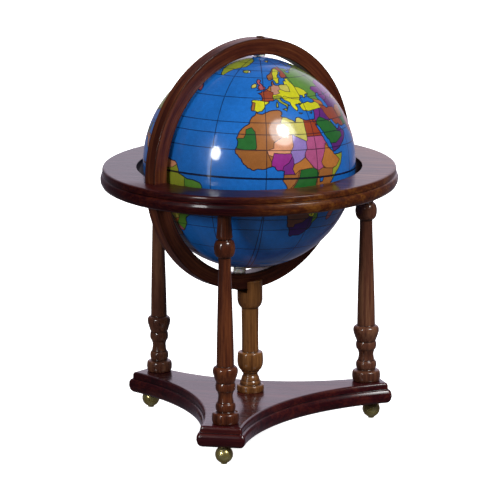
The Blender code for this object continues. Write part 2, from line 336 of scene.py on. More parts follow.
def cut(shape, tool):
    """Takes a box or a rod away from a bmesh, and returns what is left as a new one."""
    bmesh.ops.recalc_face_normals(shape, faces=shape.faces)
    bmesh.ops.recalc_face_normals(tool, faces=tool.faces)
    work = new_object("work", shape)
    helper = new_object("tool", tool)
    boolean = work.modifiers.new("cut", "BOOLEAN")
    boolean.operation = "DIFFERENCE"
    boolean.solver = "EXACT"
    boolean.object = helper
    graph = bpy.context.evaluated_depsgraph_get()
    left = bmesh.new()
    left.from_mesh(work.evaluated_get(graph).to_mesh())
    bpy.data.objects.remove(work, do_unlink=True)
    bpy.data.objects.remove(helper, do_unlink=True)
    bmesh.ops.remove_doubles(left, verts=left.verts, dist=MERGE)
    return left


def box_tool(size, place):
    shape = bmesh.new()
    bmesh.ops.create_cube(shape, size=1.0, matrix=place @ Matrix.Diagonal((*size, 1.0)))
    return shape


def rod_tool(radius, low, high, place, steps=48):
    turns = full_turn(steps)
    loops = [[(radius * math.cos(t), radius * math.sin(t), z) for t in turns] for z in (low, high)]
    shape = lofted(loops, (0.0, 0.0))
    bmesh.ops.transform(shape, matrix=place, verts=shape.verts)
    return shape


# --- materials -------------------------------------------------------------------------------


def linear(red, green, blue):
    """A colour given as 0 to 255 on a screen, as the light it stands for."""
    made = []
    for value in (red, green, blue):
        v = value / 255
        made.append(v / 12.92 if v <= 0.04045 else ((v + 0.055) / 1.055) ** 2.4)
    return tuple(made)


class Tree:
    """Builds a node tree. A value is a number, a tuple, or another node's output."""

    def __init__(self, tree):
        self.tree = tree

    def fill(self, socket, value):
        if isinstance(value, bpy.types.NodeSocket):
            self.tree.links.new(value, socket)
        else:
            socket.default_value = value

    def add(self, kind, inputs=None, **settings):
        node = self.tree.nodes.new(kind)
        for key, value in settings.items():
            setattr(node, key, value)
        for key, value in (inputs or {}).items():
            self.fill(node.inputs[key], value)
        return node

    def ramp(self, value, *stops):
        node = self.add("ShaderNodeValToRGB", {"Fac": value})
        band = node.color_ramp
        while len(band.elements) < len(stops):
            band.elements.new(0.5)
        for element, (position, colour) in zip(band.elements, stops):
            element.position = position
            element.color = (*colour, 1.0)
        return node.outputs["Color"]

    def range(self, value, from_low, from_high, to_low, to_high):
        keys = ("Value", "From Min", "From Max", "To Min", "To Max")
        inputs = dict(zip(keys, (value, from_low, from_high, to_low, to_high)))
        return self.add("ShaderNodeMapRange", inputs).outputs["Result"]

    def mix(self, blend, amount, first, second):
        """Blends two colours, each an output or a tuple of three numbers."""
        node = self.add("ShaderNodeMix", {0: amount}, data_type="RGBA", blend_type=blend)
        for index, colour in ((6, first), (7, second)):
            self.fill(node.inputs[index], (*colour, 1.0) if isinstance(colour, tuple) else colour)
        return node.outputs[2]

    def math(self, operation, first, second):
        return self.add("ShaderNodeMath", {0: first, 1: second}, operation=operation).outputs[0]

    def times(self, vector, factors):
        node = self.add("ShaderNodeVectorMath", {0: vector, 1: factors}, operation="MULTIPLY")
        return node.outputs[0]


class Look(Tree):
    """Builds one material."""

    def __init__(self, name):
        self.material = bpy.data.materials.new(name)
        self.material.use_nodes = True
        super().__init__(self.material.node_tree)
        self.shader = self.tree.nodes["Principled BSDF"]

    def set(self, **values):
        for key, value in values.items():
            self.fill(self.shader.inputs[key.replace("_", " ")], value)

    def attribute(self, name, output="Fac"):
        return self.add("ShaderNodeAttribute", attribute_name=name).outputs[output]

    def place(self, scale):
        """Where a point is on the piece, in units of 1 / scale metres."""
        where = self.add("ShaderNodeTexCoord").outputs["Object"]
        return self.times(where, (scale, scale, scale))

    def along(self, axis):
        """How far a point is along the piece's own axis, in metres."""
        where = self.add("ShaderNodeTexCoord").outputs["Object"]
        return self.add("ShaderNodeSeparateXYZ", {0: where}).outputs[axis]

    def noise(self, place, detail=4.0, roughness=0.55, distortion=0.0, bend=None):
        inputs = {
            "Vector": place,
            "Scale": 1.0,
            "Detail": detail,
            "Roughness": roughness,
            "Distortion": distortion,
        }
        if bend is not None:
            inputs["W"] = bend
        dimensions = "3D" if bend is None else "4D"
        return self.add("ShaderNodeTexNoise", inputs, noise_dimensions=dimensions).outputs["Fac"]

    def fibre(self, scales, detail=4.0, roughness=0.55, distortion=0.0):
        """Noise that is drawn out along the grain. The scales are per metre."""
        across, along = scales
        place = self.times(self.attribute("grain", "Vector"), (across, across, along))
        bend = self.math("MULTIPLY", self.attribute("grain_bend"), along)
        return self.noise(place, detail, roughness, distortion, bend)

    def tinted(self, value, positions, tones):
        """A ramp through tones that are given as on a screen."""
        return self.ramp(value, *zip(positions, [linear(*tone) for tone in tones]))

    def bump(self, height, distance, strength=1.0, under=None):
        inputs = {"Height": height, "Distance": distance, "Strength": strength}
        if under is not None:
            inputs["Normal"] = under
        return self.add("ShaderNodeBump", inputs).outputs[0]


# How fine each layer of the wood is across and along the grain, per metre.
FIGURE = (420.0, 34.0)
STREAKS = (2300.0, 75.0)
PORES = (7500.0, 420.0)
CLOUDS = (90.0, 45.0)
WAVES = (500.0, 160.0)
# How much the first, second and fourth of them weigh in the wood's tone, whose mean is half
# their sum, and where its dark, main and light tones lie.
FIGURE_WEIGHT, STREAKS_WEIGHT, CLOUDS_WEIGHT = 0.55, 0.45, 0.16
TONE_STOPS = (0.45, 0.58, 0.72)
PALER_FROM, PALER_TO = 0.002, 0.016  # metres towards +X, where the stain goes paler
WORN_VARNISH = 0.3


def wood(name, tones, gloss=0.12, varnish=0.9, paler=None, worn=None):
    """Stained and varnished hardwood, from its dark, main and light tones. `paler` has the tones
    that its +X side fades to, and `worn` the distances towards -Y, in metres, between which the
    varnish thins."""
    n = Look(name)
    figure = n.fibre(FIGURE, 5.0, 0.6, 0.7)
    streaks = n.fibre(STREAKS, 5.0, 0.62, 0.15)
    pores = n.fibre(PORES, 3.0, 0.6)
    cloud = n.fibre(CLOUDS, 2.0)
    waves = n.fibre(WAVES, 2.0)
    dust = n.noise(n.place(1500.0), 3.0)
    figure_tone = n.math("MULTIPLY", figure, FIGURE_WEIGHT)
    tone = n.math("ADD", figure_tone, n.math("MULTIPLY", streaks, STREAKS_WEIGHT))
    tone = n.math("ADD", tone, n.math("MULTIPLY", cloud, CLOUDS_WEIGHT))
    colour = n.tinted(tone, TONE_STOPS, tones)
    if paler:
        fade = n.range(n.along(0), PALER_FROM, PALER_TO, 0.0, 1.0)
        colour = n.mix("MIX", fade, colour, n.tinted(tone, TONE_STOPS, paler))
    # Pores hold dark stain, and what stands out is rubbed paler in patches.
    colour = n.mix("MULTIPLY", 1.0, colour, n.range(pores, 0.28, 0.44, 0.45, 1.0))
    standing = n.attribute("standing")
    # Grooves are darkened, as pooled stain and painted shade.
    colour = n.mix("MULTIPLY", 1.0, colour, n.range(standing, -0.6, 0.0, 0.42, 1.0))
    rubbed = n.range(standing, 0.15, 1.0, 0.0, 0.55)
    rubbed = n.math("MULTIPLY", rubbed, n.range(cloud, 0.35, 0.65, 0.4, 1.0))
    colour = n.mix("MIX", rubbed, colour, linear(*tones[-1]))
    if worn:
        varnish = n.range(n.along(1), -worn[1], -worn[0], WORN_VARNISH, varnish)
    n.set(
        Base_Color=colour,
        Roughness=n.range(streaks, 0.3, 0.7, 0.5, 0.36),
        Specular_IOR_Level=0.12,
        Normal=n.bump(streaks, 0.00003, 0.25, n.bump(pores, 0.00002, 0.35)),
        Coat_Weight=varnish,
        Coat_Roughness=gloss,
        Coat_Normal=n.bump(waves, 0.00006, 0.22, n.bump(dust, 0.00001, 0.12)),
    )
    return n.material


def brass_look(name, tones):
    """Brass with a thin and uneven tarnish."""
    n = Look(name)
    cloud = n.noise(n.place(900.0), 4.0, 0.6)
    scratch = n.noise(n.place(6000.0), 3.0)
    colour = n.tinted(cloud, (0.3, 0.5, 0.7), tones)
    # Painted shade: the brass is darker in its grooves.
    painted_groove_shade = n.range(n.attribute("standing"), -0.5, 0.0, 0.35, 1.0)
    n.set(
        Base_Color=n.mix("MULTIPLY", 1.0, colour, painted_groove_shade),
        Metallic=0.8,
        Roughness=n.range(cloud, 0.3, 0.7, 0.34, 0.14),
        Normal=n.bump(scratch, 0.00001, 0.3, n.bump(cloud, 0.0001, 0.7)),
    )
    return n.material


def washer_look():
    """Milky moulded nylon."""
    n = Look("pale_nylon")
    cloud = n.noise(n.place(1200.0), 3.0)
    n.set(
        Base_Color=n.tinted(cloud, (0.3, 0.7), ((206, 200, 190), (240, 238, 234))),
        Roughness=n.range(cloud, 0.3, 0.7, 0.3, 0.45),
        Subsurface_Weight=0.15,
        Subsurface_Scale=0.001,
        Normal=n.bump(cloud, 0.00002, 0.2),
    )
    return n.material


def print_look():
    """The printed ball under its gloss: the inks vary a little, and the gloss isn't quite even."""
    n = Look("globe_print")
    cloud = n.noise(n.place(160.0), 3.0)
    speckle = n.noise(n.place(5200.0), 3.0, 0.7)
    wash = n.noise(n.place(950.0), 4.0, 0.65)
    swell = n.noise(n.place(240.0), 2.0)
    shade = n.range(cloud, 0.3, 0.7, 0.9, 1.08)
    shade = n.math("MULTIPLY", shade, n.range(speckle, 0.3, 0.7, 0.86, 1.1))
    shade = n.math("MULTIPLY", shade, n.range(wash, 0.3, 0.7, 0.9, 1.08))
    n.set(
        Base_Color=n.mix("MULTIPLY", 1.0, n.attribute("inks", "Color"), shade),
        Roughness=n.range(speckle, 0.3, 0.7, 0.3, 0.42),
        Specular_IOR_Level=0.2,
        Coat_Weight=1.0,
        Coat_Roughness=0.1,
        Coat_Normal=n.bump(swell, 0.00008, 0.12),
        Normal=n.bump(speckle, 0.00001, 0.15),
    )
    return n.material


LEG_TONES = ((40, 15, 8), (80, 37, 20), (116, 64, 35))
# The side legs are the same wood as the front one, painted lighter and greyer as painted light and sheen.
SIDE_LEG_PAINTED_LIGHTER_TONES = ((60, 30, 22), (98, 58, 42), (130, 88, 62))
POST_TONES = ((66, 36, 15), (112, 70, 35), (146, 98, 53))
RING_TONES = ((40, 14, 8), (74, 31, 18), (110, 60, 34))
BASE_TONES = ((26, 3, 8), (52, 6, 14), (84, 30, 22))
HORIZON_TONES = ((20, 1, 4), (42, 3, 9), (74, 26, 14))
HORIZON_PALER_TONES = ((44, 18, 8), (80, 36, 12), (122, 74, 26))
BRASS_TONES = ((184, 164, 88), (232, 216, 140), (250, 242, 184))
OLD_BRASS_TONES = ((58, 34, 18), (92, 58, 30), (120, 82, 44))
HORIZON_WORN = (0.021, 0.026)

# Each look's material, and the record's material slot that it stands for.
LOOKS = {
    "front_leg": (wood("varnished_leg_wood", LEG_TONES), "mahogany"),
    "side_leg_painted_lighter": (wood("side_leg_wood_painted_lighter", SIDE_LEG_PAINTED_LIGHTER_TONES), "mahogany"),
    "post": (wood("varnished_post_wood", POST_TONES), "golden_walnut"),
    "ring": (wood("varnished_ring_wood", RING_TONES, gloss=0.16, varnish=0.4), "mahogany"),
    "base": (wood("varnished_dark_wood", BASE_TONES, gloss=0.17), "dark_mahogany"),
    "horizon": (
        wood(
            "varnished_horizon_wood",
            HORIZON_TONES,
            gloss=0.1,
            varnish=0.75,
            paler=HORIZON_PALER_TONES,
            worn=HORIZON_WORN,
        ),
        "dark_mahogany",
    ),
    "brass": (brass_look("polished_brass", BRASS_TONES), "polished_brass"),
    "old_brass": (brass_look("darkened_brass", OLD_BRASS_TONES), "polished_brass"),
    "washer": (washer_look(), "pale_washer"),
    "print": (print_look(), "globe_print"),
}

# --- the base plate and its feet ---------------------------------------------------------------

CORNER = 60  # degrees from the middle of a side to the corner
SIDE_STEPS = 240  # points along a hollow side
CUT_STEPS = 48  # points along the cut across a corner
FINE = 10  # how many points on each side of an arris are all kept
COARSE = 8  # elsewhere, one in so many is kept
ARRIS_BLUR = 1.3  # how many points the rounding of an arris spreads over at the plate's top
ARRIS_BLUR_RISE = 1.2  # and how many more for each millimetre further out


def polar(radius, azimuth):
    angle = math.radians(azimuth)
    return np.array((radius * math.cos(angle), radius * math.sin(angle)))


def base_outline(offset):
    """The plate's edge at one level of its moulding, as points with the arrises rubbed round."""
    sides = []
    for azimuth, nearest, radius in BASE_SIDES:
        outward = polar(1.0, azimuth)
        sideways = polar(1.0, azimuth + 90.0)
        distance = nearest + radius
        reach = radius - offset
        past_cut = BASE_REACH + offset - distance * math.cos(math.radians(CORNER))
        end = math.radians(90 - CORNER) + math.asin(past_cut / reach)
        turns = np.linspace(-end, end, SIDE_STEPS)[:, None]
        sides.append(outward * (distance - reach * np.cos(turns)) + sideways * reach * np.sin(turns))
    pieces = []
    for side, following in zip(sides, sides[1:] + sides[:1]):
        part = np.linspace(0, 1, CUT_STEPS + 2)[1:-1, None]
        pieces += [side, side[-1] * (1 - part) + following[0] * part]
    ring = np.vstack([*pieces, pieces[0][:1]])
    ring = blurred(ring, ARRIS_BLUR + ARRIS_BLUR_RISE * max(offset, 0.0), closed=True)[:-1]
    lap = SIDE_STEPS + CUT_STEPS
    chosen = []
    for i in range(len(ring)):
        at = i % lap
        from_arris = min(at, abs(at - SIDE_STEPS), lap - at)
        if from_arris <= FINE or at % COARSE == 0:
            chosen.append(i)
    return ring[chosen]


def make_base_plate():
    points, standing = softened(BASE_EDGE, blur=0.09)
    loops = [[(x, y, BASE_TOP - drop) for x, y in base_outline(offset)] for offset, drop in points]
    shape = lofted(loops, standing)
    finished("base_plate_wood", shape, "base", "stand", ["base_plate"], grain="X")


def make_foot_bead(leg):
    half = math.sqrt(FOOT_RADIUS**2 - FOOT_FLAT**2)
    start = math.asin(FOOT_FLAT / FOOT_RADIUS)
    turns = np.linspace(start, math.pi - start, 40)
    ball = [(FOOT_RADIUS * math.sin(t), -FOOT_RADIUS * math.cos(t)) for t in turns]
    profile = [(FOOT_BORE, -half), *ball, (FOOT_BORE, half)]
    node = f"foot_bead_{leg}"
    shape = turned(profile, steps=72, blur=0.05, closed=True)
    place = Matrix.Translation(middle(node))
    finished(f"brass_bead_{leg}", shape, "brass", "stand", [node], place=place)


def make_foot_pin(leg):
    node = f"foot_pin_{leg}"
    foot = middle(node)
    foot.z = low_corner(node).z
    length = BASE_BOTTOM - foot.z - AIR
    head, neck, shank = FOOT_PIN_HEAD_RADIUS, FOOT_PIN_HEAD_HEIGHT, FOOT_PIN_RADIUS
    profile = [(0, 0), (head, 0), (head, neck), (shank, neck), (shank, length), (0, length)]
    shape = turned(profile, steps=48, blur=0.04)
    place = Matrix.Translation(foot)
    finished(f"brass_pin_{leg}", shape, "brass", "stand", [node], place=place)


def make_feet():
    for leg in LEGS:
        make_foot_bead(leg)
        make_foot_pin(leg)


# --- the legs and the post -----------------------------------------------------------------------

SWAY = 0.006  # how far from round the sanding leaves a turning, as a share of its radius


def leg_profile(girth):
    """The turned leg between its two shoulders."""
    line = [
        (0.0, 0.0),
        *bead(0.0, 2.55, 2.75, 3.1),
        (2.1, 2.7),
        *bead(2.95, 4.9, 1.95, 2.25),
        *curve((1.82, 5.05), (1.64, 6.2), (1.66, 6.9), (1.88, 7.65)),
        *bead(7.8, 9.7, 2.0, 2.25),
        *curve((2.1, 9.85), (2.5, 11.0), (2.82, 12.2), (2.72, 13.1), (2.35, 13.5)),
        *curve((1.98, 13.6), (1.87, 20.0), (1.58, 31.0), (1.42, 37.0), (1.42, 39.4)),
        *bead(39.5, 43.6, 1.5, 2.38, 20),
        *curve((1.84, 44.2), (1.58, 47.3), (1.52, 49.8), (1.52, LEG_HEIGHT)),
        (0.0, LEG_HEIGHT),
    ]
    return [(radius * girth, height) for radius, height in line]


def make_legs():
    for number, leg in enumerate(LEGS):
        node = f"leg_{leg}"
        girth = (high_corner(node).x - low_corner(node).x) / 2 / LEG_GIRTH
        shape = turned(leg_profile(girth), steps=72, blur=0.11, phase=number * 2.0, sway=SWAY)
        foot = middle(node)
        foot.z = BASE_TOP
        finished(
            f"turned_leg_{leg}",
            shape,
            # the side legs take the wood painted lighter, as painted light
            "front_leg" if leg == "front" else "side_leg_painted_lighter",
            "stand",
            [node],
            place=Matrix.Translation(foot),
            block=number,
        )


def make_post():
    profile = [
        (0.0, 0.0),
        *bead(0.0, 1.6, 3.05, 3.25),
        (2.5, 1.75),
        (2.45, 2.5),
        *curve((2.2, 2.75), (2.05, 3.5), (1.76, 4.0), (1.76, 4.5), (2.1, 4.8), (2.2, 5.2)),
        *curve((2.45, 5.35), (2.7, 5.7), (2.97, 6.4), (3.08, 7.4), (3.0, 9.0), (2.85, 9.6)),
        *curve((2.0, 9.75), (1.97, 14.0), (2.05, 20.5)),
        *curve((2.4, 20.7), (2.75, 21.3), (POST_HEAD_RADIUS, 22.3)),
        (POST_HEAD_RADIUS, POST_HEIGHT),
        (0.0, POST_HEIGHT),
    ]
    depth = 10.0  # of the slot's cutter, which sticks out above the post
    middle_of_cut = Matrix.Translation((0, 0, POST_SLOT_FLOOR + depth / 2))
    slot = box_tool((4 * POST_HEAD_RADIUS, SLOT_WIDTH, depth), middle_of_cut @ ALONG_MERIDIAN)
    shape = cut(turned(profile, steps=72, blur=0.1, sway=SWAY), slot)
    place = Matrix.Translation((0, 0, BASE_TOP))
    finished("turned_post", shape, "post", "stand", ["centre_post"], sharp=40, place=place)


# --- the horizon ring ------------------------------------------------------------------------------


def make_horizon_ring():
    edge = [(radius, HORIZON_TOP - drop) for radius, drop in HORIZON_EDGE]
    profile = [(HORIZON_HOLE, HORIZON_TOP), *edge, (HORIZON_HOLE, HORIZON_BOTTOM)]
    height = 3 * (HORIZON_TOP - HORIZON_BOTTOM)
    size = (2 * NOTCH_REACH, NOTCH_WIDTH, height)
    notches = box_tool(size, Matrix.Translation((0, 0, HORIZON_TOP)) @ ALONG_MERIDIAN)
    shape = cut(turned(profile, steps=288, blur=0.09, closed=True), notches)
    finished(
        "horizon_ring_wood",
        shape,
        "horizon",
        "stand",
        ["horizon_ring"],
        sharp=40,
        grain="X",
        block=1,
    )


# --- the meridian ring, its pins and washers -------------------------------------------------------


def make_meridian_ring():
    half = MERIDIAN_THICKNESS / 2
    outer, inner = MERIDIAN_OUTER, MERIDIAN_INNER
    profile = [(inner, -half), (outer, -half), (outer, half), (inner, half)]
    reach = outer + 2.0  # so that the bore's cutter comes out on both sides
    upright = Matrix.Rotation(QUARTER, 4, "X")
    bore = rod_tool(PIN_BORE, -reach, reach, upright.inverted())
    finished(
        "meridian_ring_wood",
        cut(turned(profile, steps=288, blur=0.13, closed=True), bore),
        "ring",
        "meridian",
        ["meridian_ring"],
        sharp=40,
        place=MERIDIAN_FRAME @ upright,
        grain="round",
    )


def make_pivots():
    rim = MERIDIAN_OUTER + AIR
    for pole, turn, shift in (("north", 0.0, BALL_SHIFT), ("south", math.pi, -BALL_SHIFT)):
        place = MERIDIAN_FRAME @ Matrix.Rotation(turn, 4, "Y")
        ball = BALL_RADIUS + shift
        # Up the shank from the ball, and over a head that is slightly domed.
        pin = [
            *((0, ball + AIR), (PIN_RADIUS, ball + AIR), (PIN_RADIUS, rim), (PIN_HEAD_RADIUS, rim)),
            (PIN_HEAD_RADIUS, rim + 0.6 * PIN_HEAD_HEIGHT),
            (0.6 * PIN_HEAD_RADIUS, rim + 0.92 * PIN_HEAD_HEIGHT),
            (0, rim + PIN_HEAD_HEIGHT),
        ]
        rest = ball + WASHER_PLAY
        bore, edge, seat = PIN_BORE, WASHER_RADIUS, WASHER_SEAT
        washer = [(bore, rest), (edge, rest), (edge, seat), (bore, seat)]
        finished(
            f"pivot_pin_brass_{pole}",
            turned(pin, steps=48, blur=0.05),
            "old_brass",
            "meridian",
            [f"pivot_pin_{pole}"],
            place=place,
        )
        finished(
            f"pivot_washer_nylon_{pole}",
            turned(washer, steps=60, blur=0.07, closed=True),
            "washer",
            "meridian",
            [f"pivot_washer_{pole}"],
            place=place,
        )


# --- the map on the ball ---------------------------------------------------------------------------

MAP_EDGE = -169.0  # the longitude where the map's sheet begins and ends, in the open ocean

